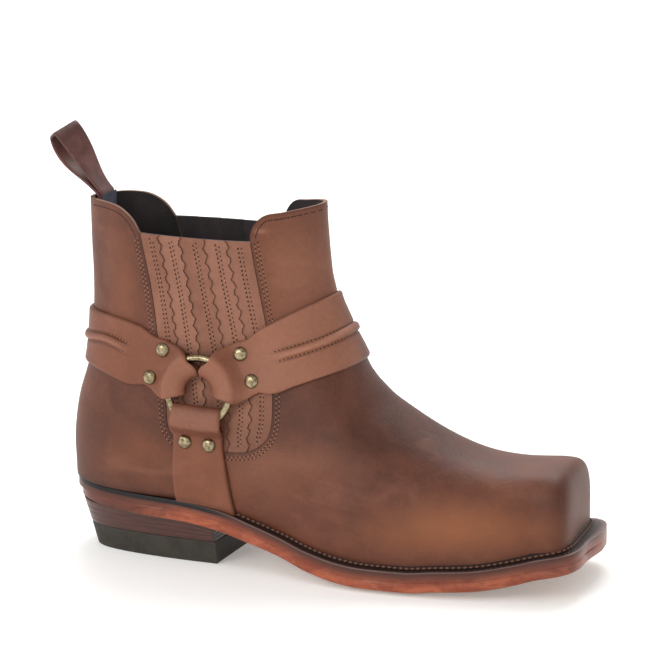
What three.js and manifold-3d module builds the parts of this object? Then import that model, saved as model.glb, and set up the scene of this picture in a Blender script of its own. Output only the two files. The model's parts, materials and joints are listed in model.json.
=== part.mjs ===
// Western harness ankle boot for the right foot: square toe, stacked heel, elastic gores
// and a harness of three straps on a ring at each side.
// Millimetres, +X to the toe, -Y to the lateral (outer) side, +Z up.
// The origin lies on the heel's ground face, on the heel's centre line.
import * as THREE from "three";
import { mergeVertices } from "three/addons/utils/BufferGeometryUtils.js";
import Module from "manifold-3d";

const wasm = await Module();
wasm.setup();

// Driving sizes of the last and the upper.
const footLength = 293; // heel curve to toe wall
const heelCurveX = -55.4; // rearmost point of the heel curve
const ballWidth = 92;
const instepHeight = 110; // floor to the foot of the shaft
const collarHeight = 196; // floor to the collar at the back
const leatherWall = 2.2;
const toeCapLength = 17;
const toeCapSquareness = 4.6;
const toeSkew = 0.1; // the toe wall falls back this much towards the medial side
const bottomTuck = 12; // the last reaches this far below the welt

// Driving sizes of the bottom.
const heelHeight = 27.8; // floor to the outsole at the heel's back
const toeSpring = 16.5; // floor to the outsole at the toe
const outsoleThickness = 7.5; // at the forepart
const waistThickness = 6; // at the waist and the heel
const weltThickness = 5.5;
const topLiftThickness = 12.7;
const insoleThickness = 3;
const insoleEase = 1.1; // the insole's edge stays this much further inside
const edgeRise = 2; // the ground edge of the forepart is rolled up by this
const edgeRoll = 12; // and over this width
const marginBack = -0.8; // the welt stands out beyond the upper by this at the heel
const marginFront = 6.2; // and by this at the forepart
const weltLipHeight = 3.4;
const weltLipWidth = 2.6;
const fit = 0.3; // clearance between pieces that meet

// Heel block.
const heelLength = 95.9; // heel curve to breast
const heelSeatUnder = 7.4; // the heel's back lies this far in front of the heel curve at the seat
const heelGroundUnder = 15.4; // and this far at the ground
const breastUnder = 1.6; // the breast leans back by this up to the seat
const heelGroundHalfWidth = 31;
const heelSeatHalfWidth = 34;
const seatInset = 2.2; // the outsole draws in under the seat's back by this
const heelBackHalf = 1.5; // half width of the heel block's rearmost facet
const sectionGap = 4; // least width of a bottom section, and its least step past the heel's round

// Gores.
const goreDrop = 14.5; // collar to the gore's top edge
const goreThickness = 1.8; // elastic with its leather strips
const goreRecess = 0.2; // the strips lie this far under the leather's face

// Harness.
const strapThickness = 2.2;
const ringRadius = 18.3; // to the middle of the wire
const ringWire = 2;
const sleeveWall = 1.6; // the strap that is rolled round the wire
const ringEase = 0.5; // extra room under the rolled strap
const rivetReach = 12.1; // ring wire to rivet centre
const rivetRadius = 3.9;
const rivetHeight = 2.1;
const beadWidth = 4.6;
const beadHeight = 1.7;
const frontEndWidth = 30; // the straps' width where they meet the ring
const backEndWidth = 29;
const footEndWidth = 28;
const sleeveRelief = 0.4; // the strap leaves the roll this far outside the wire's middle
const tabOverlap = 1.5; // and its end lies this far past the rivets' circle
const rollLap = 0.1; // the strap's faces meet the roll this far inside it
const bandOverlap = 2; // the band reaches this far inside the rivets' circle
const planeReach = 12; // distance of the face points that set the ring's plane
const rayHeight = 30; // how far over the face a rivet's seat is looked for

// Pull loop.
const loopWidth = 16;
const loopThickness = 1.7;
const loopRise = 43; // above the collar
const loopTail = 11; // inside the collar
const loopGap = 10.5; // between the two plies at the widest
const loopBend = 2; // how far the loop's middle bows towards the heel
const loopFold = 1; // straight rise above the collar before the loop leans
const loopLean = 37; // degrees that the loop leans back from upright

// Places along the foot, as shares of footLength from the heel curve.
const ringAt = 0.3034;
const lipStartAt = 0.4; // the welt's raised lip runs from here to the toe
const thickFrom = 0.377; // the outsole thickens from here
const thickTo = 0.582; // to here
const marginFrom = -0.016; // the bottom's margin grows from here
const marginTo = 0.53; // to here
const ringUp = 0.5026; // height of the ring's middle, as a share of collarHeight

// Rows of the sole line. at: share of footLength from the heel curve; heel: share of heelHeight;
// toe: share of toeSpring.
const soleLine = [
  { at: -0.02, heel: 1.0, toe: 0 },
  { at: 0.145, heel: 0.874, toe: 0 },
  { at: 0.25, heel: 0.845, toe: 0 },
  { at: 0.326, heel: 0.755, toe: 0 },
  { at: 0.4, heel: 0.56, toe: 0 },
  { at: 0.469, heel: 0.36, toe: 0 },
  { at: 0.53, heel: 0.165, toe: 0 },
  { at: 0.592, heel: 0.036, toe: 0 },
  { at: 0.64, heel: 0, toe: 0 },
  { at: 0.718, heel: 0, toe: 0 },
  { at: 0.776, heel: 0, toe: 0.097 },
  { at: 0.838, heel: 0, toe: 0.18 },
  { at: 0.913, heel: 0, toe: 0.42 },
  { at: 0.981, heel: 0, toe: 0.72 },
  { at: 1.036, heel: 0, toe: 1.0 },
];

// Sections of the last from the toe to the collar. Each lies in a plane across the boot, from a low
// point to a top point. lowX, topX: shares of footLength from the heel curve. lowUp: 0 is under the sole
// line, more is a share of the rise from the seat to the collar. topUp: share of instepHeight up to 1,
// then of the rise from the instep to the collar. lateral, medial: half widths as shares of ballWidth.
// belly: where along the section it is widest. lowEdge, archEdge, topEdge: squareness of the lateral
// foot, the medial foot and the top.
const columns = [
  "lowX", "lowUp", "topX", "topUp", "lateral", "medial", "belly", "lowEdge", "archEdge", "topEdge",
];
const sections = [
  [0.942, 0, 0.942, 0.605, 0.305, 0.525, 0.42, 5.0, 5.0, 3.3],
  [0.868, 0, 0.868, 0.605, 0.395, 0.525, 0.38, 5.0, 5.0, 2.8],
  [0.797, 0, 0.797, 0.64, 0.45, 0.52, 0.36, 5.0, 4.8, 2.4],
  [0.718, 0, 0.718, 0.73, 0.484, 0.512, 0.35, 5.0, 4.4, 2.2],
  [0.636, 0, 0.632, 0.872, 0.5, 0.497, 0.36, 4.8, 3.8, 2.1],
  [0.547, 0, 0.586, 1.0, 0.478, 0.467, 0.38, 4.4, 3.2, 2.05],
  [0.462, 0, 0.562, 1.16, 0.44, 0.43, 0.4, 3.6, 2.9, 2.05],
  [0.367, 0, 0.5475, 1.27, 0.413, 0.408, 0.4, 3.2, 3.0, 2.05],
  [0.257, 0, 0.5365, 1.36, 0.402, 0.397, 0.4, 3.4, 3.4, 2.05],
  [0.145, 0, 0.5275, 1.44, 0.391, 0.391, 0.38, 3.4, 3.4, 2.05],
  [0.053, 0, 0.522, 1.53, 0.38, 0.38, 0.37, 3.0, 3.0, 2.05],
  [0.0133, -0.03, 0.5175, 1.61, 0.37, 0.37, 0.37, 2.6, 2.6, 2.05],
  [0.0027, 0.06, 0.5143, 1.69, 0.359, 0.359, 0.39, 2.45, 2.45, 2.05],
  [0.0007, 0.16, 0.5116, 1.77, 0.35, 0.35, 0.42, 2.35, 2.35, 2.05],
  [0.01, 0.285, 0.5096, 1.843, 0.342, 0.342, 0.45, 2.3, 2.3, 2.05],
  [0.0287, 0.41, 0.5078, 1.907, 0.334, 0.334, 0.48, 2.2, 2.2, 2.05],
  [0.0362, 0.545, 0.5065, 1.971, 0.326, 0.326, 0.5, 2.1, 2.1, 2.05],
  [0.038, 0.685, 0.5058, 2.029, 0.32, 0.32, 0.52, 2.05, 2.05, 2.05],
  [0.0345, 0.84, 0.505, 2.087, 0.315, 0.315, 0.53, 2.0, 2.0, 2.05],
  [0.0315, 1.08, 0.504, 2.198, 0.312, 0.312, 0.53, 2.0, 2.0, 2.05],
];

// Facets of the solids.
const capRings = 5;
const fineRows = 5; // the foot's first rows are halved
const pointsAround = 24;

// Side-view outlines. Each point is a share of footLength from the heel curve and a share of collarHeight.
const toplineBack = [
  [-0.1, 0.99], [0.038, 0.995], [0.088, 0.997], [0.121, 0.989], [0.149, 0.963], [0.167, 0.926],
];
const toplineFront = [
  [0.389, 0.94], [0.397, 0.972], [0.413, 0.998], [0.445, 1.008], [0.506, 1.026], [0.62, 1.06],
];
const goreBackEdge = [[0.169, 0.918], [0.198, 0.746], [0.229, 0.46]];
const goreFoot = [[0.24, 0.377], [0.29, 0.335], [0.36, 0.335], [0.41, 0.35], [0.441, 0.395]];
const goreFrontEdge = [[0.446, 0.49], [0.409, 0.775], [0.392, 0.918]];
const frontStrapTop = [[0.36, 0.642], [0.48, 0.74], [0.54, 0.783], [0.68, 0.88]];
const frontStrapFoot = [[0.68, 0.625], [0.598, 0.594], [0.52, 0.556], [0.41, 0.49]];
const backStrapTop = [[0.33, 0.59], [0.282, 0.605], [0.176, 0.666], [0.1, 0.681], [-0.1, 0.675]];
const backStrapFoot = [[-0.1, 0.515], [0.062, 0.5265], [0.153, 0.498], [0.238, 0.459], [0.3, 0.43]];
const frontBead = [[0.45, 0.613], [0.533, 0.659], [0.572, 0.687], [0.68, 0.76]];
const backBead = [[0.146, 0.599], [0.091, 0.613], [0.031, 0.6], [-0.1, 0.58]];
const footStrap = [[0.245, 0.46], [0.251, 0.05], [0.38, 0.05], [0.358, 0.3], [0.345, 0.46]];

const lateralSide = -1;
const medialSide = 1;

/** Length along the foot from a share of footLength. */
const along = (share) => heelCurveX + share * footLength;

/** Blends four neighbouring values of a table's column (Catmull-Rom). */
function catmull(a, b, c, d, t) {
  return b + 0.5 * t * (c - a + t * (2 * a - 5 * b + 4 * c - d + t * (3 * (b - c) + d - a)));
}

/** Value of one column at a fractional row. */
function columnAt(table, key, row) {
  const last = table.length - 1;
  const i = Math.min(Math.floor(row), last - 1);
  const pick = (k) => table[Math.max(0, Math.min(last, k))][key];
  return catmull(pick(i - 1), pick(i), pick(i + 1), pick(i + 2), row - i);
}

/** Height of the outsole's underside at x: a monotone cubic through the sole line. */
function soleZ(x) {
  const share = (x - heelCurveX) / footLength;
  const z = (r) => r.heel * heelHeight + r.toe * toeSpring;
  const rows = soleLine;
  let i = rows.findIndex((r) => r.at > share) - 1;
  if (i < 0) i = share <= rows[0].at ? 0 : rows.length - 2;
  const slope = (k) => (z(rows[k + 1]) - z(rows[k])) / (rows[k + 1].at - rows[k].at);
  const tangent = (k) => {
    if (k === 0) return slope(0);
    if (k === rows.length - 1) return slope(k - 1);
    const [p, q] = [slope(k - 1), slope(k)];
    return p * q <= 0 ? 0 : (2 * p * q) / (p + q);
  };
  const width = rows[i + 1].at - rows[i].at;
  const t = THREE.MathUtils.clamp((share - rows[i].at) / width, 0, 1);
  const [t2, t3] = [t * t, t * t * t];
  return (
    (2 * t3 - 3 * t2 + 1) * z(rows[i]) +
    (t3 - 2 * t2 + t) * width * tangent(i) +
    (3 * t2 - 2 * t3) * z(rows[i + 1]) +
    (t3 - t2) * width * tangent(i + 1)
  );
}

/** Smooth step from 0 to 1 between two places along the foot, given as shares. */
const ease = (x, from, to) => THREE.MathUtils.smoothstep(x, along(from), along(to));

/** Thickness of the outsole at x. */
const outsoleAt = (x) => waistThickness + (outsoleThickness - waistThickness) * ease(x, thickFrom, thickTo);

/** Height of the welt's top face, where the upper meets the bottom. */
const featherZ = (x) => soleZ(x) + outsoleAt(x) + weltThickness;
const seatZ = featherZ(heelCurveX);

const lastRows = sections.map((row) => Object.fromEntries(columns.map((name, i) => [name, row[i]])));

/**
 * Point of the last. row: section number, from -1 at the toe's tip.
 * turn: angle round the section, a quarter turn is the top.
 */
function lastPoint(row, turn) {
  const at = (key) => columnAt(lastRows, key, Math.max(0, row));
  const lowX = along(at("lowX"));
  const lowUp = at("lowUp");
  const onSole = featherZ(lowX) - bottomTuck;
  const onBack = seatZ + lowUp * (collarHeight - seatZ);
  const firstBackRow = lastRows.findIndex((r) => r.lowUp > 0);
  const blend = THREE.MathUtils.smoothstep(row, firstBackRow - 2, firstBackRow);
  const low = new THREE.Vector2(lowX, onSole + (onBack - onSole) * blend);
  const topUp = at("topUp");
  const topZ = topUp <= 1 ? topUp * instepHeight : instepHeight + (topUp - 1) * (collarHeight - instepHeight);
  const top = new THREE.Vector2(along(at("topX")), topZ);
  const span = top.clone().sub(low);
  const belly = at("belly");
  const [c, s] = [Math.cos(turn), Math.sin(turn)];
  const lateral = c < 0;
  const foot = lateral ? at("lowEdge") : at("archEdge");
  const edge = s >= 0 ? at("topEdge") : foot;
  const half = (lateral ? at("lateral") : at("medial")) * ballWidth;
  let rise = Math.sign(s) * Math.abs(s) ** (2 / edge) * (s >= 0 ? 1 - belly : belly);
  let y = Math.sign(c) * Math.abs(c) ** (2 / edge) * half;
  let shift = 0;
  if (row < 0) {
    const swing = ((row + 1) * Math.PI) / 2;
    const shrink = Math.sin(swing) ** (2 / toeCapSquareness);
    const reach = Math.cos(swing) ** (2 / toeCapSquareness);
    rise *= shrink;
    y *= shrink;
    shift = reach * (toeCapLength - toeSkew * y);
  }
  return new THREE.Vector3(
    low.x + span.x * (belly + rise) + shift,
    y,
    low.y + span.y * (belly + rise),
  );
}

/** Point at a distance outside the last, along its normal. */
function skinPoint(row, turn, offset) {
  const point = lastPoint(row, turn);
  if (offset === 0) return point;
  const [stepRow, stepTurn] = [0.02, 0.02];
  const lastRow = lastRows.length - 1;
  const rowA = Math.max(-1 + stepRow / 4, row - stepRow);
  const acrossRows = lastPoint(Math.min(lastRow, row + stepRow), turn).sub(lastPoint(rowA, turn));
  const aroundTurn = lastPoint(row, turn + stepTurn).sub(lastPoint(row, turn - stepTurn));
  return point.addScaledVector(acrossRows.cross(aroundTurn).normalize(), offset);
}

/** Closed solid from loops of points, each with the same count, with a flat fan on the first and the last. */
function loft(loops) {
  const count = loops[0].length;
  const positions = loops.flat().flatMap((p) => [p.x, p.y, p.z]);
  const index = [];
  for (let i = 0; i < loops.length - 1; i++) {
    for (let j = 0; j < count; j++) {
      const [a, b] = [i * count + j, i * count + ((j + 1) % count)];
      index.push(a, b, a + count, b, b + count, a + count);
    }
  }
  for (const [ring, side] of [[0, 1], [loops.length - 1, -1]]) {
    const middle = loops[ring].reduce((sum, p) => sum.add(p), new THREE.Vector3()).divideScalar(count);
    positions.push(middle.x, middle.y, middle.z);
    const hub = positions.length / 3 - 1;
    for (let j = 0; j < count; j++) {
      const [a, b] = [ring * count + j, ring * count + ((j + 1) % count)];
      index.push(...(side > 0 ? [hub, b, a] : [hub, a, b]));
    }
  }
  return solidFrom(new Float32Array(positions), new Uint32Array(index));
}

/** Solid with its faces pointing out, whichever way round its triangles came. */
function solidFrom(vertProperties, triVerts) {
  const solid = new wasm.Manifold(new wasm.Mesh({ numProp: 3, vertProperties, triVerts }));
  if (solid.volume() > 0) return solid;
  for (let i = 0; i < triVerts.length; i += 3) {
    [triVerts[i + 1], triVerts[i + 2]] = [triVerts[i + 2], triVerts[i + 1]];
  }
  return new wasm.Manifold(new wasm.Mesh({ numProp: 3, vertProperties, triVerts }));
}

/** Solid of a closed three.js geometry. */
function solidOf(geometry) {
  const plain = geometry.clone();
  plain.deleteAttribute("normal");
  plain.deleteAttribute("uv");
  const merged = mergeVertices(plain, 1e-3);
  return solidFrom(new Float32Array(merged.attributes.position.array), new Uint32Array(merged.index.array));
}

/** The three.js geometry of a solid. */
function geometryOf(solid) {
  const mesh = solid.getMesh();
  const positions = new Float32Array(mesh.numVert * 3);
  for (let i = 0; i < mesh.numVert; i++) {
    positions.set(mesh.vertProperties.subarray(i * mesh.numProp, i * mesh.numProp + 3), i * 3);
  }
  const geometry = new THREE.BufferGeometry();
  geometry.setAttribute("position", new THREE.BufferAttribute(positions, 3));
  geometry.setIndex(new THREE.BufferAttribute(new Uint32Array(mesh.triVerts), 1));
  geometry.computeVertexNormals();
  return geometry;
}

/** Section numbers of the loft, from near the tip to the top. */
function rowNumbers() {
  const cap = Array.from({ length: capRings }, (_, i) => -1 + (i + 0.35) / capRings);
  const fine = Array.from({ length: fineRows * 2 }, (_, i) => i / 2);
  const plain = lastRows.map((_, i) => i).slice(fineRows);
  return [...cap, ...fine, ...plain];
}

/** The last grown or shrunk by an offset, as a solid. */
function skin(offset) {
  const turns = Array.from({ length: pointsAround }, (_, j) => (2 * Math.PI * (j + 0.5)) / pointsAround);
  return loft(rowNumbers().map((row) => turns.map((turn) => skinPoint(row, turn, offset))));
}

const reach = ballWidth; // half the depth of the cutting blocks, more than the boot's half width
const far = 2 * (footLength + collarHeight); // beyond the boot in any direction

/** Block with a side-view outline of [x, z] points, between two depths. */
function sideBlock(outline, fromY = -reach, toY = reach) {
  const shape = new THREE.Shape(outline.map(([x, z]) => new THREE.Vector2(x, z)));
  const geometry = new THREE.ExtrudeGeometry(shape, { depth: toY - fromY, bevelEnabled: false });
  geometry.rotateX(Math.PI / 2).translate(0, toY, 0);
  return solidOf(geometry);
}

/** Block on one side of the boot only. */
const sidePiece = (outline, side) =>
  side < 0 ? sideBlock(outline, -reach, 0) : sideBlock(outline, 0, reach);

/** Smooth side-view line through share points, in millimetres. */
function sideCurve(points, steps = 3) {
  const curve = new THREE.CatmullRomCurve3(
    points.map(([x, z]) => new THREE.Vector3(along(x), 0, z * collarHeight)),
    false,
    "centripetal",
  );
  return curve.getPoints((points.length - 1) * steps).map((p) => [p.x, p.z]);
}

/** Closed outline moved inwards by a distance. */
function inset(outline, distance) {
  const area = THREE.ShapeUtils.area(outline.map(([x, y]) => new THREE.Vector2(x, y)));
  const turn = Math.sign(area) * distance;
  return outline.map(([x, y], i) => {
    const [ax, ay] = outline.at(i - 1);
    const [bx, by] = outline[(i + 1) % outline.length];
    const length = Math.hypot(bx - ax, by - ay);
    return [x - (turn * (by - ay)) / length, y + (turn * (bx - ax)) / length];
  });
}

/** Band of the side view that follows the sole line, between two heights over the welt's top face. */
function soleBand(fromUp, toUp) {
  const steps = 48;
  const xs = Array.from({ length: steps + 1 }, (_, i) => along(-0.12 + (1.24 * i) / steps));
  const line = (up) => xs.map((x) => [x, featherZ(x) + up]);
  return sideBlock([...line(fromUp), ...line(toUp).reverse()]);
}

/** Where a section of the last crosses the welt's top face on one side, or null. */
function featherCrossing(row, side) {
  const steps = 90;
  const middle = side < 0 ? Math.PI : 0;
  const turnAt = (i) => middle + side * (-Math.PI / 2 + (Math.PI * i) / steps);
  let below = lastPoint(row, turnAt(0));
  for (let i = 1; i <= steps; i++) {
    const point = lastPoint(row, turnAt(i));
    const [da, db] = [below.z - featherZ(below.x), point.z - featherZ(point.x)];
    if (da < 0 && db >= 0) return below.lerp(point, da / (da - db));
    below = point;
  }
  return null;
}

/** Where the last's face at a turn from the heel's middle crosses the welt's top face. */
function heelCrossing(turn) {
  let [low, high] = [6, 13];
  for (let i = 0; i < 30; i++) {
    const middle = (low + high) / 2;
    const point = lastPoint(middle, turn);
    if (point.z < featherZ(point.x)) low = middle;
    else high = middle;
  }
  return lastPoint(low, turn);
}

/** Pairs of lateral and medial points of the feather line, from the heel to the toe. */
function featherPairs() {
  const heel = [3, 8, 14, 21, 29, 38, 48].map((degrees) => {
    const swing = THREE.MathUtils.degToRad(degrees);
    return [heelCrossing(-Math.PI / 2 - swing), heelCrossing(-Math.PI / 2 + swing)];
  });
  const startX = heel.at(-1)[0].x + sectionGap;
  const cap = rowNumbers().filter((row) => row < 0);
  const body = Array.from({ length: 34 }, (_, i) => i / 3);
  const rest = [...cap, ...body]
    .reverse()
    .map((row) => [featherCrossing(row, lateralSide), featherCrossing(row, medialSide)])
    .filter(([l, m]) => l && m && m.y - l.y > sectionGap && Math.min(l.x, m.x) > startX);
  return [...heel, ...rest];
}

/** How far the bottom stands out beyond the upper at x. */
const weltMargin = (x) => marginBack + (marginFront - marginBack) * ease(x, marginFrom, marginTo);

/** The feather pairs moved outwards in plan by a margin that may follow x. */
function bottomPairs(marginAt) {
  const pairs = featherPairs();
  const outline = [...pairs.map(([l]) => [l.x, l.y]), ...pairs.map(([, m]) => [m.x, m.y]).reverse()];
  const area = THREE.ShapeUtils.area(outline.map(([x, y]) => new THREE.Vector2(x, y)));
  const moved = outline.map(([x, y], i) => {
    const [ax, ay] = outline.at(i - 1);
    const [bx, by] = outline[(i + 1) % outline.length];
    const length = Math.hypot(bx - ax, by - ay);
    const margin = marginAt(x) * Math.sign(area);
    return new THREE.Vector2(x + (margin * (by - ay)) / length, y - (margin * (bx - ax)) / length);
  });
  const count = pairs.length;
  return pairs.map((_, i) => [moved[i], moved[2 * count - 1 - i]]);
}

/** Solid of one bottom layer: cross-sections between each pair, from their edge profile. */
function bottomLayer(pairs, profile) {
  const loops = pairs.map(([l, m]) => {
    const across = m.clone().sub(l);
    const width = across.length();
    const pointOf = ([inward, z], from, sign) => {
      const p = from.clone().addScaledVector(across, (sign * Math.min(inward, width * 0.45)) / width);
      return new THREE.Vector3(p.x, p.y, z(p.x));
    };
    const lateral = profile.map((corner) => pointOf(corner, l, 1));
    const medial = profile.map((corner) => pointOf(corner, m, -1)).reverse();
    return [...lateral, ...medial];
  });
  return loft(loops);
}

/** Plan outline of the heel at one level: a straight breast and a round back. */
function heelLoop(z, back, front, halfWidth) {
  const half = 14;
  const side = (sign) =>
    Array.from({ length: half }, (_, i) => {
      const swing = (Math.PI / 2) * (i / (half - 1)) ** 0.9;
      const x = front - (front - back) * Math.sin(swing);
      const y = halfWidth * Math.cos(swing) ** (2 / 4.2) * (1 - 0.02 * Math.cos(swing));
      return new THREE.Vector3(x, sign * Math.max(y, heelBackHalf), z);
    });
  return [...side(-1), ...side(1).reverse()];
}

/** Heel block between two levels, tapered towards the ground. */
function heelBlock(fromZ, toZ) {
  const level = (z) => {
    const share = z / heelHeight;
    const back = heelCurveX + heelGroundUnder + (heelSeatUnder - heelGroundUnder) * share;
    const half = heelGroundHalfWidth + (heelSeatHalfWidth - heelGroundHalfWidth) * share;
    return heelLoop(z, back, heelCurveX + heelLength - breastUnder * share, half);
  };
  return loft([level(fromZ), level((fromZ + toZ) / 2), level(toZ)]);
}

// Places worked out from the sizes.
const ringX = along(ringAt);
const ringZ = ringUp * collarHeight;
const rivetCircle = ringRadius + rivetReach;
const goreTop = collarHeight - goreDrop;

// Shared solids of the last.
const outside = skin(0);
const inside = skin(-leatherWall);
const underStrap = skin(fit);
const strapFace = skin(fit + strapThickness);
const beadFace = skin(fit + strapThickness + beadHeight);
const underWelt = soleBand(-seatZ - far, fit);
const bothSides = new THREE.MeshBasicMaterial({ side: THREE.DoubleSide });
const rayTarget = (solid) => new THREE.Mesh(geometryOf(solid), bothSides);
const outerFace = rayTarget(outside);
const innerFace = rayTarget(inside);

/** Point and normal of the last's face seen from outside at side-view place x, z. */
function faceAt(x, z, side) {
  const ray = new THREE.Raycaster(new THREE.Vector3(x, side * reach, z), new THREE.Vector3(0, -side, 0));
  const hit = ray.intersectObject(outerFace)[0];
  const normal = hit.face.normal.clone();
  if (normal.y * side < 0) normal.negate();
  return { point: hit.point, normal };
}

/** Where the upper's inner face lies at the back of the collar, at a place across and a height. */
function insideAt(y, z) {
  const ray = new THREE.Raycaster(new THREE.Vector3(0, y, z), new THREE.Vector3(-1, 0, 0));
  return ray.intersectObject(innerFace)[0].point.x;
}

/** Frame of the ring on one side: middle, outward normal, forward and up in its plane. */
function ringFrame(side) {
  const { point } = faceAt(ringX, ringZ, side);
  const spot = (dx, dz) => faceAt(ringX + dx * planeReach, ringZ + dz * planeReach, side).point;
  const [fore, aft, over, under] = [spot(1, 0), spot(-1, 0), spot(0, 1), spot(0, -1)];
  const forward = fore.sub(aft).normalize();
  const up = over.sub(under);
  up.addScaledVector(forward, -up.dot(forward)).normalize();
  const normal = forward.clone().cross(up);
  if (normal.y * side < 0) normal.negate();
  const lift = fit + ringWire + fit + sleeveWall + ringEase;
  return { middle: point.addScaledVector(normal, lift), normal, forward, up };
}

/** Point in a ring's frame, at an angle and radius in its plane and a height over it. */
function ringPlace(frame, angle, radius, height) {
  return frame.middle
    .clone()
    .addScaledVector(frame.forward, radius * Math.cos(angle))
    .addScaledVector(frame.up, radius * Math.sin(angle))
    .addScaledVector(frame.normal, height);
}

/** Round tube along an arc of the ring, between two angles. */
function ringTube(frame, tube, fromDegrees, toDegrees, steps, sides) {
  const loops = Array.from({ length: steps + 1 }, (_, i) => {
    const angle = THREE.MathUtils.degToRad(fromDegrees + ((toDegrees - fromDegrees) * i) / steps);
    return Array.from({ length: sides }, (_, j) => {
      const turn = (2 * Math.PI * (j + 0.5)) / sides;
      return ringPlace(frame, angle, ringRadius + tube * Math.cos(turn), tube * Math.sin(turn));
    });
  });
  return loft(loops);
}

/** Whole wire ring of a given tube radius. */
function ringSolid(frame, tube, steps = 20, sides = 6) {
  const geometry = new THREE.TorusGeometry(ringRadius, tube, sides, steps);
  const place = new THREE.Matrix4().makeBasis(
    frame.forward,
    frame.up,
    frame.forward.clone().cross(frame.up),
  );
  place.setPosition(frame.middle);
  return solidOf(geometry.applyMatrix4(place));
}

/** End of a strap: rolled round the wire over an arc, then brought down on the upper. */
function strapEnd(frame, side, { middle, arc, width }) {
  const tube = ringWire + fit + sleeveWall;
  const sleeve = ringTube(frame, tube, middle - arc / 2, middle + arc / 2, 4, 8);
  const angle = THREE.MathUtils.degToRad(middle);
  const turned = (at) =>
    frame.forward.clone().multiplyScalar(Math.cos(at)).addScaledVector(frame.up, Math.sin(at));
  const [outwards, across] = [turned(angle), turned(angle + Math.PI / 2)];
  const flatRadius = rivetCircle - rivetRadius - fit;
  const stations = [
    { radius: ringRadius + sleeveRelief, ease: 0, half: 0.86 },
    { radius: ringRadius + tube * 0.85, ease: 0.3, half: 0.92 },
    { radius: flatRadius, ease: 1, half: 0.98 },
    { radius: rivetCircle + tabOverlap, ease: 1, half: 1 },
  ];
  const loops = stations.map((station) => {
    const half = (station.half * width) / 2;
    const corner = (sign, top) => {
      const plane = frame.middle.clone().addScaledVector(outwards, station.radius);
      plane.addScaledVector(across, sign * half);
      const face = faceAt(plane.x, plane.z, side);
      const lying = face.point.clone().addScaledVector(face.normal, fit + (top ? strapThickness : 0));
      const rolled = plane.clone().addScaledVector(frame.normal, top ? tube - rollLap : rollLap - tube);
      const place = rolled.lerp(lying, station.ease);
      const height = place.clone().sub(face.point).dot(face.normal);
      const short = fit + (station.ease < 1 ? 2 * ringEase : 0) - height;
      return short > 0 ? place.addScaledVector(face.normal, short) : place;
    };
    return [corner(-1, false), corner(1, false), corner(1, true), corner(-1, true)];
  });
  return sleeve.add(loft(loops));
}

/** Upper: vamp and quarters as one hollow wall, open at the collar, the gores and the bottom. */
function makeUpper() {
  const over = [[along(0.65), far], [along(-0.15), far]];
  const dip = [[along(0.185), goreTop], [along(0.38), goreTop]];
  const topline = sideBlock([...sideCurve(toplineBack), ...dip, ...sideCurve(toplineFront), ...over]);
  const gore = sideBlock(goreOutline(0));
  return outside.subtract(inside).subtract(underWelt).subtract(topline).subtract(gore);
}

/** Side-view outline of a gore, drawn in by a distance. */
function goreOutline(distance) {
  const topBack = [along(goreBackEdge[0][0] - 0.012), 1.2 * collarHeight];
  const topFront = [along(goreFrontEdge[2][0] - 0.018), 1.2 * collarHeight];
  return inset([topBack, ...sideCurve([...goreBackEdge, ...goreFoot, ...goreFrontEdge]), topFront], distance);
}

/** Gore: the elastic panel with its leather strips, set into the upper's U-shaped opening. */
function makeGore(side) {
  const over = sideBlock([[-far, goreTop], [far, goreTop], [far, far], [-far, far]]);
  const window = sidePiece(goreOutline(fit), side).subtract(over);
  return skin(-goreRecess).subtract(skin(-goreRecess - goreThickness)).intersect(window);
}

/** Harness band over the front or round the back of the ankle, from ring to ring. */
function makeBand(outline, bead, frames, angles) {
  const shell = strapFace.subtract(underStrap).intersect(sideBlock(outline));
  const half = beadWidth / 2;
  const upper = bead.map(([x, z]) => [x, z + half]);
  const lower = bead.map(([x, z]) => [x, z - half]).reverse();
  const ridge = beadFace.subtract(underStrap).intersect(sideBlock([...upper, ...lower]));
  let band = shell.add(ridge);
  for (const side of [lateralSide, medialSide]) {
    const frame = frames.get(side);
    band = band.subtract(ringKeepOut(frame, side)).add(strapEnd(frame, side, angles));
  }
  for (const side of [lateralSide, medialSide]) {
    band = band.subtract(ringSolid(frames.get(side), ringWire + fit));
  }
  return band;
}

/** Everything inside the rivet circle on one side, where a band leaves the upper. */
function ringKeepOut(frame, side) {
  const radius = rivetCircle - bandOverlap;
  const circle = Array.from({ length: 28 }, (_, i) => {
    const angle = (2 * Math.PI * i) / 28;
    return [ringX + radius * Math.cos(angle), ringZ + radius * Math.sin(angle)];
  });
  return sidePiece(circle, side);
}

/** Strap from the ring down to the welt on one side. */
function makeFootStrap(side, frame, angles) {
  const band = strapFace.subtract(underStrap).intersect(sidePiece(sideCurve(footStrap, 1), side));
  return band
    .subtract(underWelt)
    .subtract(ringKeepOut(frame, side))
    .add(strapEnd(frame, side, angles))
    .subtract(ringSolid(frame, ringWire + fit));
}

/** Welt: a plate under the upper's edge with a raised lip round the forepart. */
function makeWelt() {
  const plate = bottomLayer(bottomPairs(weltMargin), [
    [0, (x) => featherZ(x) - weltThickness],
    [0, (x) => featherZ(x)],
  ]);
  const lip = bottomLayer(bottomPairs(() => weltLipWidth), [
    [0, (x) => featherZ(x) - weltThickness / 2],
    [0, (x) => featherZ(x) + weltLipHeight],
  ]);
  const start = along(lipStartAt);
  const forepart = sideBlock([[start, -far], [far, -far], [far, far], [start, far]]);
  const room = skin(fit).subtract(soleBand(-seatZ - far, 0));
  return plate.add(lip.intersect(forepart).subtract(room));
}

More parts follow.
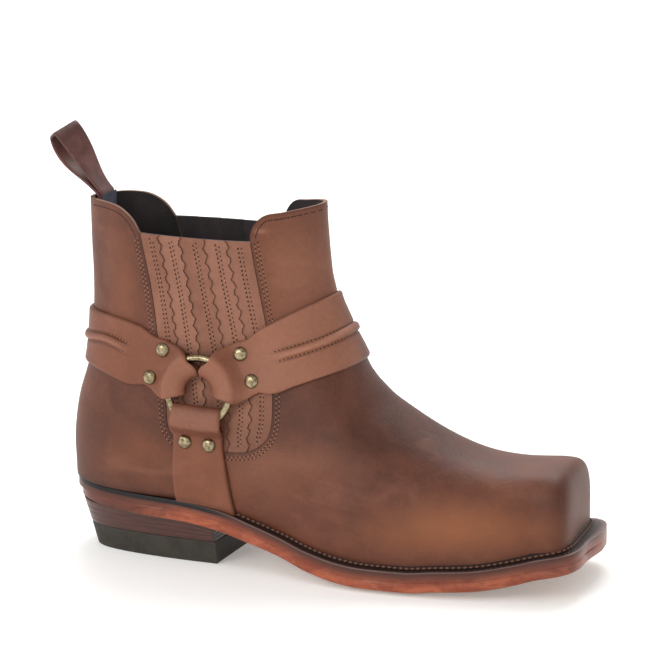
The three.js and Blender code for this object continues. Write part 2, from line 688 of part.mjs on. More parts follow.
/** Outsole: one leather layer from heel to toe, its ground edge rolled at the forepart. */
function makeOutsole() {
  const roll = (x) => edgeRise * ease(x, 0.343, 0.513);
  const margin = (x) => weltMargin(x) - seatInset * (1 - ease(x, -0.016, 0.189));
  return bottomLayer(bottomPairs(margin), [
    [edgeRoll, (x) => soleZ(x)],
    [0, (x) => soleZ(x) + roll(x)],
    [0, (x) => soleZ(x) + outsoleAt(x) - fit],
  ]);
}

/** Insole: lies on the welt inside the upper. */
function makeInsole() {
  return bottomLayer(bottomPairs(() => -leatherWall - fit - insoleEase), [
    [0, (x) => featherZ(x) + fit],
    [0, (x) => featherZ(x) + fit + insoleThickness],
  ]);
}

/** Stacked heel between the outsole and the top lift. */
function makeHeelStack() {
  const overSole = soleBand(-waistThickness - weltThickness - fit, far);
  return heelBlock(topLiftThickness + fit, 1.4 * heelHeight).subtract(overSole);
}

/** Pull loop: a band folded in two, sewn inside the collar's back, twisted and leaning out over the heel. */
function makePullLoop() {
  const pitch = loopThickness + fit;
  const wallAt = (share) => insideAt(loopWidth / 2, collarHeight - share * loopTail);
  const wallX = Math.max(wallAt(1), wallAt(0.3));
  const base = new THREE.Vector3(wallX + fit + pitch, 0, collarHeight - loopTail);
  const tilt = THREE.MathUtils.degToRad(loopLean);
  const lean = new THREE.Vector3(-Math.sin(tilt), 0, Math.cos(tilt));
  const across = new THREE.Vector3(7.8, 14.6, 9.3);
  across.addScaledVector(lean, -across.dot(lean)).normalize();
  const steps = 26;
  const length = loopRise + loopTail;
  const stations = Array.from({ length: steps + 1 }, (_, i) => {
    const swing = -Math.PI / 2 + 0.16 + ((2 * Math.PI - 0.32) * i) / steps;
    const high = (1 + Math.sin(swing)) / 2;
    const out = Math.max(0, high * length - loopTail - loopFold) / loopRise;
    const settle = THREE.MathUtils.smoothstep(out, 0.05, 0.95);
    const side = new THREE.Vector3(0, 1, 0).lerp(across, settle).normalize();
    const spine = base.clone().addScaledVector(lean, out * loopRise);
    spine.z += Math.min(high * length, loopTail + loopFold);
    spine.x -= loopBend * 4 * out * (1 - out);
    const depth = side.clone().cross(lean).normalize();
    const swell = 4.28 * out ** 2.2 * Math.max(0, 1 - out) ** 0.6 * (loopGap / 2) + pitch / 2;
    const ply = high > 0.999 ? 0 : Math.sign(Math.cos(swing));
    return { path: spine.addScaledVector(depth, ply * swell), side };
  });
  const sectionAt = ({ path, side }, i) => {
    const [before, after] = [stations[Math.max(0, i - 1)].path, stations[Math.min(steps, i + 1)].path];
    const thick = after.clone().sub(before).normalize().cross(side).normalize();
    const corner = (w, t) =>
      path.clone().addScaledVector(side, (w * loopWidth) / 2).addScaledVector(thick, (t * loopThickness) / 2);
    return [corner(-1, -1), corner(1, -1), corner(1, 1), corner(-1, 1)];
  };
  return loft(stations.map(sectionAt));
}

/** Domed rivet head on a strap's face: it rests on the highest point under its rim. */
function makeRivet(frame, side, angleDegrees, strap) {
  const angle = THREE.MathUtils.degToRad(angleDegrees);
  const plane = ringPlace(frame, angle, rivetCircle, 0);
  const face = faceAt(plane.x, plane.z, side);
  const turn = new THREE.Quaternion().setFromUnitVectors(new THREE.Vector3(0, 1, 0), face.normal);
  const target = rayTarget(strap);
  const rim = Array.from({ length: 12 }, (_, i) => {
    const swing = (2 * Math.PI * i) / 12;
    return new THREE.Vector3(rivetRadius * Math.cos(swing), 0, rivetRadius * Math.sin(swing));
  });
  const spots = [new THREE.Vector3(), ...rim];
  const heights = spots.map((spot) => {
    const start = spot.applyQuaternion(turn).add(face.point).addScaledVector(face.normal, rayHeight);
    const hit = new THREE.Raycaster(start, face.normal.clone().negate()).intersectObject(target)[0];
    return hit ? rayHeight - hit.distance : 0;
  });
  const profile = [[0, 0], [1, 0], [1, 0.3], [0.72, 0.78], [0, 1]];
  const geometry = new THREE.LatheGeometry(
    profile.map(([r, h]) => new THREE.Vector2(r * rivetRadius, h * rivetHeight)),
    10,
  );
  const seat = face.point.clone().addScaledVector(face.normal, Math.max(...heights) + fit);
  geometry.applyQuaternion(turn).translate(seat.x, seat.y, seat.z);
  return solidOf(geometry);
}

const leather = new THREE.MeshStandardMaterial({ color: 0x8a5a42, roughness: 0.55, metalness: 0 });
const strapLeather = new THREE.MeshStandardMaterial({ color: 0x8f5e45, roughness: 0.5, metalness: 0 });
const stripLeather = new THREE.MeshStandardMaterial({ color: 0x93654d, roughness: 0.6, metalness: 0 });
const webbing = new THREE.MeshStandardMaterial({ color: 0x59372f, roughness: 0.7, metalness: 0 });
const soleLeather = new THREE.MeshStandardMaterial({ color: 0x8c3b22, roughness: 0.45, metalness: 0 });
const weltLeather = new THREE.MeshStandardMaterial({ color: 0x3b2722, roughness: 0.5, metalness: 0 });
const heelLeather = new THREE.MeshStandardMaterial({ color: 0x4a2a24, roughness: 0.4, metalness: 0 });
const heelRubber = new THREE.MeshStandardMaterial({ color: 0x2c2a27, roughness: 0.7, metalness: 0 });
const insoleLeather = new THREE.MeshStandardMaterial({ color: 0x2b211e, roughness: 0.8, metalness: 0 });
const agedBrass = new THREE.MeshStandardMaterial({ color: 0x9c8a5e, roughness: 0.35, metalness: 1 });

const boot = new THREE.Group();

/** Adds one named piece to the boot. */
function addPiece(name, solid, material) {
  const mesh = new THREE.Mesh(geometryOf(solid), material);
  mesh.name = name;
  boot.add(mesh);
}

const frames = new Map([[lateralSide, ringFrame(lateralSide)], [medialSide, ringFrame(medialSide)]]);
const sideNames = new Map([[lateralSide, "lateral"], [medialSide, "medial"]]);
const frontAngles = { middle: 28.7, arc: 84, width: frontEndWidth, rivets: [44, 13.4] };
const backAngles = { middle: 155, arc: 84, width: backEndWidth, rivets: [138, 172] };
const footAngles = { middle: 268.4, arc: 76, width: footEndWidth, rivets: [254.6, 282] };

addPiece("outsole", makeOutsole(), soleLeather);
addPiece("welt", makeWelt(), weltLeather);
addPiece("heel_stack", makeHeelStack(), heelLeather);
addPiece("heel_top_lift", heelBlock(0, topLiftThickness), heelRubber);
addPiece("insole", makeInsole(), insoleLeather);
addPiece("upper", makeUpper(), leather);
addPiece("pull_loop", makePullLoop(), webbing);
const frontOutline = [...sideCurve(frontStrapTop, 2), ...sideCurve(frontStrapFoot, 2)];
const backOutline = [...sideCurve(backStrapTop, 2), ...sideCurve(backStrapFoot, 2)];
const frontStrap = makeBand(frontOutline, sideCurve(frontBead, 2), frames, frontAngles);
const backStrap = makeBand(backOutline, sideCurve(backBead, 2), frames, backAngles);
addPiece("strap_front", frontStrap, strapLeather);
addPiece("strap_back", backStrap, strapLeather);
for (const [side, name] of sideNames) {
  const frame = frames.get(side);
  const sideStrap = makeFootStrap(side, frame, footAngles);
  addPiece(`gore_${name}`, makeGore(side), stripLeather);
  addPiece(`strap_foot_${name}`, sideStrap, strapLeather);
  addPiece(`ring_${name}`, ringSolid(frame, ringWire), agedBrass);
  const fixings = [
    ["front", frontAngles, frontStrap],
    ["back", backAngles, backStrap],
    ["foot", footAngles, sideStrap],
  ];
  for (const [strap, angles, solid] of fixings) {
    angles.rivets.forEach((angle, i) => {
      addPiece(`rivet_${name}_${strap}_${i + 1}`, makeRivet(frame, side, angle, solid), agedBrass);
    });
  }
}

export default boot;
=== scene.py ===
"""Dresses the western harness ankle boot: fine leather, stitches, sole, hardware, camera and light."""

import json
import logging
import math
from dataclasses import dataclass, field
from enum import Enum
from typing import Any, Callable, Sequence

import bpy
import numpy as np
from mathutils import Matrix, Vector
from mathutils.bvhtree import BVHTree
from numpy.linalg import norm

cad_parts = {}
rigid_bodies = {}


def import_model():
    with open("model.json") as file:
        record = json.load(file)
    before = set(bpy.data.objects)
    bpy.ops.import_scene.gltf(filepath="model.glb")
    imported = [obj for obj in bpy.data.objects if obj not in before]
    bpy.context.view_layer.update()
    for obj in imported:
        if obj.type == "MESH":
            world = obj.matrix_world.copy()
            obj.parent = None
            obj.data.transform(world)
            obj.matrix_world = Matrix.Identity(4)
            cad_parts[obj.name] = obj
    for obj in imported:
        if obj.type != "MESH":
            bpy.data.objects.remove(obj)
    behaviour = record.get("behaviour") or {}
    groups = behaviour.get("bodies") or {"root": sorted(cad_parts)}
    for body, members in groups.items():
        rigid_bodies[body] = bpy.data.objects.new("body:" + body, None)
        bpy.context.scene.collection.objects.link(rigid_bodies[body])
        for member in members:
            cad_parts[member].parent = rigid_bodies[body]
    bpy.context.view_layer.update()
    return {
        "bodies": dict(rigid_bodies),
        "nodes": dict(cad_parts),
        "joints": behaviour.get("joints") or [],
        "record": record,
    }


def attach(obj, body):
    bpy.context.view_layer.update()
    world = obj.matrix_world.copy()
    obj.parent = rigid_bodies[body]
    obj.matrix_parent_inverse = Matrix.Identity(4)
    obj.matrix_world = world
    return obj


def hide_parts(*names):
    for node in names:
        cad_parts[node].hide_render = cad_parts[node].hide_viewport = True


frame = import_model()
LOG = logging.getLogger("boot")
MM = 0.001
ROOT = "root"
joined = np.concatenate
Array = np.ndarray
Piece = bpy.types.Object
Finish = bpy.types.Material
Spots = list[tuple[Array, Array, Array]]
Pair = tuple[Array, Array]
Point = tuple[float, float, float]
Line = tuple[tuple[float, float], ...]


class Side(Enum):
    """The two sides of the right boot."""

    LATERAL = -1
    MEDIAL = 1

    @property
    def word(self) -> str:
        """The side's name in a piece's name."""
        return self.name.lower()


@dataclass(frozen=True)
class Sizes:
    """Driving sizes of the boot in mm, the same as the solids have."""

    foot_length: float = 293
    heel_curve: float = -55.4
    ball_width: float = 92
    instep: float = 110
    collar: float = 196
    wall: float = 2.2
    toe_cap: float = 17
    toe_squareness: float = 4.6
    toe_skew: float = 0.1
    tuck: float = 12
    heel_height: float = 27.8
    toe_spring: float = 16.5
    outsole: float = 7.5
    waist: float = 6
    welt: float = 5.5
    top_lift: float = 12.7
    edge_rise: float = 2
    margin_back: float = -0.8
    margin_front: float = 6.2
    seat_inset: float = 2.2
    fit: float = 0.3
    heel_length: float = 95.9
    heel_seat_under: float = 7.4
    heel_ground_under: float = 15.4
    breast_under: float = 1.6
    heel_ground_half: float = 31
    heel_seat_half: float = 34
    gore_drop: float = 14.5
    gore_thickness: float = 1.8
    strap: float = 2.2
    ring_radius: float = 18.3
    ring_wire: float = 2
    ring_at: float = 0.3034
    ring_up: float = 0.5026
    ring_ease: float = 0.5
    sleeve: float = 1.6
    rivet_reach: float = 12.1
    rivet_radius: float = 3.9
    rivet_height: float = 2.1
    loop_width: float = 16
    loop_thickness: float = 1.7
    loop_rise: float = 43
    loop_tail: float = 11
    loop_gap: float = 10.5
    loop_bend: float = 2
    loop_lean: float = 37

    def along(self, share: float) -> float:
        """Place along the foot from a share of its length."""
        return self.heel_curve + share * self.foot_length


SIZES = Sizes()

SOLE_LINE = (
    (-0.02, 1.0, 0), (0.145, 0.874, 0), (0.25, 0.845, 0), (0.326, 0.755, 0), (0.4, 0.56, 0),
    (0.469, 0.36, 0), (0.53, 0.165, 0), (0.592, 0.036, 0), (0.64, 0, 0), (0.718, 0, 0),
    (0.776, 0, 0.097), (0.838, 0, 0.18), (0.913, 0, 0.42), (0.981, 0, 0.72), (1.036, 0, 1.0),
)
COLUMNS = (
    "low_x", "low_up", "top_x", "top_up", "lateral", "medial", "belly", "low_edge", "arch_edge", "top_edge",
)
SECTIONS = (
    (0.942, 0, 0.942, 0.605, 0.305, 0.525, 0.42, 5.0, 5.0, 3.3),
    (0.868, 0, 0.868, 0.605, 0.395, 0.525, 0.38, 5.0, 5.0, 2.8),
    (0.797, 0, 0.797, 0.64, 0.45, 0.52, 0.36, 5.0, 4.8, 2.4),
    (0.718, 0, 0.718, 0.73, 0.484, 0.512, 0.35, 5.0, 4.4, 2.2),
    (0.636, 0, 0.632, 0.872, 0.5, 0.497, 0.36, 4.8, 3.8, 2.1),
    (0.547, 0, 0.586, 1.0, 0.478, 0.467, 0.38, 4.4, 3.2, 2.05),
    (0.462, 0, 0.562, 1.16, 0.44, 0.43, 0.4, 3.6, 2.9, 2.05),
    (0.367, 0, 0.5475, 1.27, 0.413, 0.408, 0.4, 3.2, 3.0, 2.05),
    (0.257, 0, 0.5365, 1.36, 0.402, 0.397, 0.4, 3.4, 3.4, 2.05),
    (0.145, 0, 0.5275, 1.44, 0.391, 0.391, 0.38, 3.4, 3.4, 2.05),
    (0.053, 0, 0.522, 1.53, 0.38, 0.38, 0.37, 3.0, 3.0, 2.05),
    (0.0133, -0.03, 0.5175, 1.61, 0.37, 0.37, 0.37, 2.6, 2.6, 2.05),
    (0.0027, 0.06, 0.5143, 1.69, 0.359, 0.359, 0.39, 2.45, 2.45, 2.05),
    (0.0007, 0.16, 0.5116, 1.77, 0.35, 0.35, 0.42, 2.35, 2.35, 2.05),
    (0.01, 0.285, 0.5096, 1.843, 0.342, 0.342, 0.45, 2.3, 2.3, 2.05),
    (0.0287, 0.41, 0.5078, 1.907, 0.334, 0.334, 0.48, 2.2, 2.2, 2.05),
    (0.0362, 0.545, 0.5065, 1.971, 0.326, 0.326, 0.5, 2.1, 2.1, 2.05),
    (0.038, 0.685, 0.5058, 2.029, 0.32, 0.32, 0.52, 2.05, 2.05, 2.05),
    (0.0345, 0.84, 0.505, 2.087, 0.315, 0.315, 0.53, 2.0, 2.0, 2.05),
    (0.0315, 1.08, 0.504, 2.198, 0.312, 0.312, 0.53, 2.0, 2.0, 2.05),
)

# Side-view outlines: shares of the foot's length and of the collar's height.
TOPLINE_BACK = ((-0.1, 0.99), (0.038, 0.995), (0.088, 0.997), (0.121, 0.989), (0.149, 0.963), (0.167, 0.926))
TOPLINE_FRONT = ((0.389, 0.94), (0.397, 0.972), (0.413, 0.998), (0.445, 1.008), (0.506, 1.026), (0.62, 1.06))
GORE_BACK = ((0.169, 0.918), (0.198, 0.746), (0.229, 0.46))
GORE_FOOT = ((0.24, 0.377), (0.29, 0.335), (0.36, 0.335), (0.41, 0.35), (0.441, 0.395))
GORE_FRONT = ((0.446, 0.49), (0.409, 0.775), (0.392, 0.918))
FRONT_TOP = ((0.36, 0.642), (0.48, 0.74), (0.54, 0.783), (0.68, 0.88))
FRONT_FOOT = ((0.41, 0.49), (0.52, 0.556), (0.598, 0.594), (0.68, 0.625))
BACK_TOP = ((-0.1, 0.675), (0.1, 0.681), (0.176, 0.666), (0.282, 0.605), (0.33, 0.59))
BACK_FOOT = ((-0.1, 0.515), (0.062, 0.5265), (0.153, 0.498), (0.238, 0.459), (0.3, 0.43))
FRONT_BEAD = ((0.45, 0.613), (0.533, 0.659), (0.572, 0.687), (0.68, 0.76))
BACK_BEAD = ((-0.1, 0.58), (0.031, 0.6), (0.091, 0.613), (0.146, 0.599))
FOOT_BACK_EDGE = ((0.245, 0.46), (0.251, 0.05))
FOOT_FRONT_EDGE = ((0.345, 0.46), (0.358, 0.3), (0.38, 0.05))


def ramp(value: Array | float, low: float, high: float) -> Array | float:
    """Smooth rise from 0 at low to 1 at high."""
    t = np.clip((np.asarray(value, float) - low) / (high - low), 0, 1)
    return t * t * (3 - 2 * t)


def unit(vectors: Array) -> Array:
    """Vectors scaled to length one along the last axis."""
    length = norm(vectors, axis=-1, keepdims=True)
    return vectors / np.maximum(length, 1e-12)


def side_curve(points: Sequence[tuple[float, float]], steps: int = 8) -> Array:
    """Smooth side-view line through share points.

    Args:
        points: shares of the foot's length and of the collar's height.
        steps: pieces between two points.

    Returns:
        Rows of x and z in mm.
    """
    knots = np.array([(SIZES.along(x), z * SIZES.collar) for x, z in points])
    if len(knots) == 2:
        t = np.linspace(0, 1, steps + 1)[:, None]
        return knots[0] * (1 - t) + knots[1] * t
    ends = np.vstack([2 * knots[0] - knots[1], knots, 2 * knots[-1] - knots[-2]])
    line = []
    for i in range(1, len(ends) - 2):
        p0, p1, p2, p3 = ends[i - 1 : i + 3]
        t1 = norm(p1 - p0) ** 0.5
        t2 = t1 + norm(p2 - p1) ** 0.5
        t3 = t2 + norm(p3 - p2) ** 0.5
        for t in np.linspace(t1, t2, steps, endpoint=False):
            a1 = (t1 - t) / t1 * p0 + t / t1 * p1
            a2 = (t2 - t) / (t2 - t1) * p1 + (t - t1) / (t2 - t1) * p2
            a3 = (t3 - t) / (t3 - t2) * p2 + (t - t2) / (t3 - t2) * p3
            b1 = (t2 - t) / t2 * a1 + t / t2 * a2
            b2 = (t3 - t) / (t3 - t1) * a2 + (t - t1) / (t3 - t1) * a3
            line.append((t2 - t) / (t2 - t1) * b1 + (t - t1) / (t2 - t1) * b2)
    line.append(knots[-1])
    return np.array(line)


def height_on(curve: Array, x: Array | float) -> Array | float:
    """Height of a side-view line at x, for a line that runs one way along the foot."""
    order = np.argsort(curve[:, 0])
    return np.interp(x, curve[order, 0], curve[order, 1])


def offset_line(line: Array, distance: float) -> Array:
    """Open line in the plane moved to its left by a distance."""
    step = np.gradient(line, axis=0)
    normal = unit(np.stack([-step[:, 1], step[:, 0]], -1))
    return line + normal * distance


def walk(line: Array, spacing: float, start: float = 0.0) -> Pair:
    """Even places along a line.

    Args:
        line: rows of points, in two or three dimensions.
        spacing: distance between places.
        start: distance of the first place from the line's beginning.

    Returns:
        The places, and the unit directions of the line there.
    """
    gaps = norm(np.diff(line, axis=0), axis=1)
    reach = joined([[0], np.cumsum(gaps)])
    at = np.arange(start, reach[-1], spacing)
    places = np.stack([np.interp(at, reach, line[:, k]) for k in range(line.shape[1])], -1)
    ahead = np.stack([np.interp(at + 0.3, reach, line[:, k]) for k in range(line.shape[1])], -1)
    behind = np.stack([np.interp(at - 0.3, reach, line[:, k]) for k in range(line.shape[1])], -1)
    return places, unit(ahead - behind)


class Last:
    """The last: the form that the leather is pulled over, as a function of section and turn."""

    def __init__(self, sizes: Sizes) -> None:
        """Reads the table of sections."""
        self.sizes = sizes
        self.table = {name: np.array([row[i] for row in SECTIONS], float) for i, name in enumerate(COLUMNS)}
        self.top_row = len(SECTIONS) - 1
        self.seat = float(self.feather(sizes.heel_curve))

    def column(self, name: str, row: Array) -> Array:
        """Values of one column at fractional rows, by Catmull-Rom."""
        values = self.table[name]
        i = np.clip(np.floor(row).astype(int), 0, self.top_row - 1)
        t = row - i
        a, b, c, d = (values[np.clip(i + k, 0, self.top_row)] for k in (-1, 0, 1, 2))
        return b + 0.5 * t * (c - a + t * (2 * a - 5 * b + 4 * c - d + t * (3 * (b - c) + d - a)))

    def sole(self, x: Array | float) -> Array:
        """Height of the outsole's underside."""
        at = np.array([r[0] for r in SOLE_LINE])
        z = np.array([r[1] * self.sizes.heel_height + r[2] * self.sizes.toe_spring for r in SOLE_LINE])
        share = (np.asarray(x, float) - self.sizes.heel_curve) / self.sizes.foot_length
        i = np.clip(np.searchsorted(at, share, side="right") - 1, 0, len(at) - 2)
        slope = np.diff(z) / np.diff(at)
        product = slope[:-1] * slope[1:]
        total = np.where(np.abs(slope[:-1] + slope[1:]) < 1e-12, 1, slope[:-1] + slope[1:])
        inner = np.where(product <= 0, 0, 2 * product / total)
        tangent = joined([[slope[0]], inner, [slope[-1]]])
        width = at[i + 1] - at[i]
        t = np.clip((share - at[i]) / width, 0, 1)
        return (
            (2 * t**3 - 3 * t**2 + 1) * z[i]
            + (t**3 - 2 * t**2 + t) * width * tangent[i]
            + (3 * t**2 - 2 * t**3) * z[i + 1]
            + (t**3 - t**2) * width * tangent[i + 1]
        )

    def outsole(self, x: Array | float) -> Array:
        """Thickness of the outsole."""
        s = self.sizes
        return s.waist + (s.outsole - s.waist) * ramp(x, s.along(0.377), s.along(0.582))

    def feather(self, x: Array | float) -> Array:
        """Height of the welt's top face."""
        return self.sole(x) + self.outsole(x) + self.sizes.welt

    def point(self, row: Array, turn: Array) -> Array:
        """Points of the last.

        Args:
            row: section numbers, from -1 at the toe's tip.
            turn: angles round the section, a quarter turn is the top.

        Returns:
            Rows of x, y and z in mm.
        """
        s = self.sizes
        row, turn = np.broadcast_arrays(np.asarray(row, float), np.asarray(turn, float))
        body = np.maximum(row, 0)
        low_x = s.along(self.column("low_x", body))
        low_up = self.column("low_up", body)
        on_sole = self.feather(low_x) - s.tuck
        on_back = self.seat + low_up * (s.collar - self.seat)
        first_back = int(np.argmax(self.table["low_up"] > 0))
        blend = ramp(row, first_back - 2, first_back)
        low_z = on_sole + (on_back - on_sole) * blend
        top_up = self.column("top_up", body)
        top_z = np.where(top_up <= 1, top_up * s.instep, s.instep + (top_up - 1) * (s.collar - s.instep))
        top_x = s.along(self.column("top_x", body))
        belly = self.column("belly", body)
        cos, sin = np.cos(turn), np.sin(turn)
        lateral = cos < 0
        foot = np.where(lateral, self.column("low_edge", body), self.column("arch_edge", body))
        edge = np.where(sin >= 0, self.column("top_edge", body), foot)
        half = np.where(lateral, self.column("lateral", body), self.column("medial", body)) * s.ball_width
        rise = np.sign(sin) * np.abs(sin) ** (2 / edge) * np.where(sin >= 0, 1 - belly, belly)
        y = np.sign(cos) * np.abs(cos) ** (2 / edge) * half
        swing = np.clip((np.minimum(row, 0) + 1) * math.pi / 2, 0, math.pi / 2)
        shrink = np.where(row < 0, np.sin(swing) ** (2 / s.toe_squareness), 1)
        reach = np.where(row < 0, np.abs(np.cos(swing)) ** (2 / s.toe_squareness), 0)
        rise, y = rise * shrink, y * shrink
        shift = reach * (s.toe_cap - s.toe_skew * y)
        x = low_x + (top_x - low_x) * (belly + rise) + shift
        z = low_z + (top_z - low_z) * (belly + rise)
        return np.stack([x, y, z], -1)

    def normal(self, row: Array, turn: Array) -> Array:
        """Unit normals of the last, facing out."""
        row, turn = np.broadcast_arrays(np.asarray(row, float), np.asarray(turn, float))
        step = 0.02
        down = np.maximum(row - step, -1 + step / 4)
        rows = self.point(np.minimum(row + step, self.top_row), turn) - self.point(down, turn)
        turns = self.point(row, turn + step) - self.point(row, turn - step)
        return unit(np.cross(rows, turns))


class Skin:
    """A dense grid over the last at one offset, with ray casts that give smooth normals."""

    def __init__(self, last: Last, offset: float, rows: int = 8, around: int = 160, cap: int = 16) -> None:
        """Lays the grid.

        Args:
            last: the form under it.
            offset: distance outside the last.
            rows: rows of the grid between two sections.
            around: points round a section.
            cap: rows over the toe's front.
        """
        front = -1 + (np.arange(cap) + 0.12) / cap
        body = np.arange(last.top_row * rows + 1) / rows
        self.row = joined([front, body])
        self.turn = 2 * math.pi * (np.arange(around) + 0.5) / around
        grid_row, grid_turn = np.meshgrid(self.row, self.turn, indexing="ij")
        self.normals = last.normal(grid_row, grid_turn)
        self.points = last.point(grid_row, grid_turn) + self.normals * offset
        n, m = grid_row.shape
        i, j = np.meshgrid(np.arange(n - 1), np.arange(m), indexing="ij")
        a, b = i * m + j, i * m + (j + 1) % m
        self.quads = np.stack([a, b, b + m, a + m], -1).reshape(-1, 4)
        self.tree = BVHTree.FromPolygons(self.points.reshape(-1, 3).tolist(), self.quads.tolist())

    def raise_by(self, lift: Array) -> None:
        """Moves the face out by an amount at each point."""
        self.points = self.points + self.normals * lift[..., None]
        self.tree = BVHTree.FromPolygons(self.points.reshape(-1, 3).tolist(), self.quads.tolist())

    def cast(self, start: Sequence[float], way: Sequence[float]) -> Pair | None:
        """First point that a ray meets, and the smooth normal there."""
        spot, _, index, _ = self.tree.ray_cast(Vector(start), Vector(way))
        if spot is None:
            return None
        place = np.array(spot)
        corners = self.quads[index]
        a, b, _, d = self.points.reshape(-1, 3)[corners]
        u = np.clip(np.dot(place - a, b - a) / max(np.dot(b - a, b - a), 1e-9), 0, 1)
        v = np.clip(np.dot(place - a, d - a) / max(np.dot(d - a, d - a), 1e-9), 0, 1)
        na, nb, nc, nd = self.normals.reshape(-1, 3)[corners]
        mixed = (1 - u) * (1 - v) * na + u * (1 - v) * nb + u * v * nc + (1 - u) * v * nd
        return place, mixed / norm(mixed)

    def face(self, x: float, z: float, side: Side) -> Pair:
        """Point and normal seen from one side at a side-view place."""
        sign = side.value
        hit = self.cast((x, sign * 90, z), (0, -sign, 0))
        if hit is None:
            raise ValueError(f"no leather at {x:.1f}, {z:.1f}")
        return hit


LAST = Last(SIZES)


class Bench:
    """Modelling by operators: primitives, edit-mode work and modifiers that are applied."""

    @staticmethod
    def clear() -> None:
        """Deselects everything."""
        bpy.ops.object.select_all(action="DESELECT")

    @staticmethod
    def only(piece: Piece) -> Piece:
        """Selects one object and makes it active."""
        Bench.clear()
        piece.select_set(True)
        bpy.context.view_layer.objects.active = piece
        return piece

    @staticmethod
    def added(name: str) -> Piece:
        """Names the primitive that was just added."""
        piece = bpy.context.object
        piece.name = name
        piece.data.name = name
        return piece

    @staticmethod
    def edit(piece: Piece, *steps: Callable[[], Any]) -> None:
        """Runs operators in edit mode with the whole mesh selected."""
        Bench.only(piece)
        bpy.ops.object.mode_set(mode="EDIT")
        bpy.ops.mesh.select_all(action="SELECT")
        for step in steps:
            step()
        bpy.ops.object.mode_set(mode="OBJECT")

    @staticmethod
    def grid(name: str, points: Array, marks: dict[str, Array] | None = None, ring: bool = False) -> Piece:
        """A grid primitive laid on an array of places and closed into a solid.

        Args:
            name: the piece's name.
            points: places in mm by row and column, where the last column meets the first.
            marks: numbers at the places that the mesh carries for its finish.
            ring: joins the last row to the first, where the ends are filled otherwise.

        Returns:
            The new mesh object.
        """
        tables = {label: np.broadcast_to(v, points.shape[:2]) for label, v in (marks or {}).items()}
        tables["place"] = points
        for label, values in tables.items():
            values = joined([values, values[:, :1]], axis=1)
            tables[label] = joined([values, values[:1]]) if ring else values
        laid = tables.pop("place")
        rows, columns = laid.shape[:2]
        Bench.clear()
        bpy.ops.mesh.primitive_grid_add(x_subdivisions=columns - 1, y_subdivisions=rows - 1, size=1)
        piece = Bench.added(name)
        share = Bench.places(piece) * MM + 0.5
        column = np.rint(share[:, 0] * (columns - 1)).astype(int)
        row = np.rint(share[:, 1] * (rows - 1)).astype(int)
        piece.data.vertices.foreach_set("co", (laid[row, column] * MM).ravel())
        carry(piece, **{label: values[row, column] for label, values in tables.items()})
        steps: list[Callable[[], Any]] = [lambda: bpy.ops.mesh.remove_doubles(threshold=1e-7)]
        if not ring:
            steps.append(lambda: bpy.ops.mesh.fill_holes(sides=0))
        Bench.edit(piece, *steps, Bench.outward)
        return piece

    @staticmethod
    def prism(name: str, outline: Array, low: float, high: float) -> Piece:
        """A side-view outline extruded between two depths."""
        Bench.clear()
        bpy.ops.mesh.primitive_circle_add(vertices=len(outline), radius=1, fill_type="NGON")
        piece = Bench.added(name)
        places = np.stack([outline[:, 0], np.full(len(outline), low), outline[:, 1]], -1)
        piece.data.vertices.foreach_set("co", (places * MM).ravel())
        rise = (0, (high - low) * MM, 0)
        Bench.edit(
            piece,
            lambda: bpy.ops.mesh.extrude_region_move(TRANSFORM_OT_translate={"value": rise}),
            lambda: bpy.ops.mesh.select_all(action="SELECT"),
            lambda: bpy.ops.mesh.fill_holes(sides=0),
            Bench.outward,
        )
        return piece

    @staticmethod
    def cut(piece: Piece, *tools: Piece) -> None:
        """Takes tools away from a piece and uses them up."""
        for tool in tools:
            Bench.only(piece)
            modifier = piece.modifiers.new("cut", "BOOLEAN")
            modifier.object = tool
            modifier.operation = "DIFFERENCE"
            modifier.solver = "MANIFOLD"
            bpy.ops.object.modifier_apply(modifier=modifier.name)
            bpy.data.objects.remove(tool, do_unlink=True)

    @staticmethod
    def outward() -> None:
        """Turns the selected faces outwards."""
        bpy.ops.mesh.normals_make_consistent(inside=False)

    @staticmethod
    def smooth(piece: Piece, degrees: float) -> None:
        """Smooth shading, sharp over an angle."""
        Bench.only(piece)
        bpy.ops.object.shade_smooth_by_angle(angle=math.radians(degrees))

    @staticmethod
    def settle(piece: Piece) -> Piece:
        """Brings an object's place, turn and size into its mesh."""
        Bench.only(piece)
        bpy.ops.object.transform_apply(location=True, rotation=True, scale=True)
        return piece

    @staticmethod
    def places(piece: Piece) -> Array:
        """Vertices of a piece in mm."""
        flat = np.zeros(len(piece.data.vertices) * 3)
        piece.data.vertices.foreach_get("co", flat)
        return flat.reshape(-1, 3) / MM

    @staticmethod
    def scatter(name: str, seed: Piece, spots: Spots) -> Piece:
        """Copies a small mesh to many spots, as one mesh.

        Args:
            name: name of the joined piece.
            seed: the small mesh, with its length on X and its height on Z.
            spots: place, direction and upward normal of each copy, in mm.

        Returns:
            The joined piece. The seed is used up.
        """
        local = Bench.places(seed)
        polygons = [list(p.vertices) for p in seed.data.polygons]
        corners: list[Array] = []
        faces: list[list[int]] = []
        for place, way, up in spots:
            across = unit(np.cross(up, way))
            lift = unit(np.cross(way, across))
            base = len(corners) * len(local)
            corners.append(local @ np.stack([way, across, lift]) + place)
            faces.extend([[base + v for v in face] for face in polygons])
        bpy.data.objects.remove(seed, do_unlink=True)
        mesh = bpy.data.meshes.new(name)
        mesh.from_pydata((joined(corners) * MM).tolist(), [], faces)
        piece = bpy.data.objects.new(name, mesh)
        bpy.context.collection.objects.link(piece)
        return piece


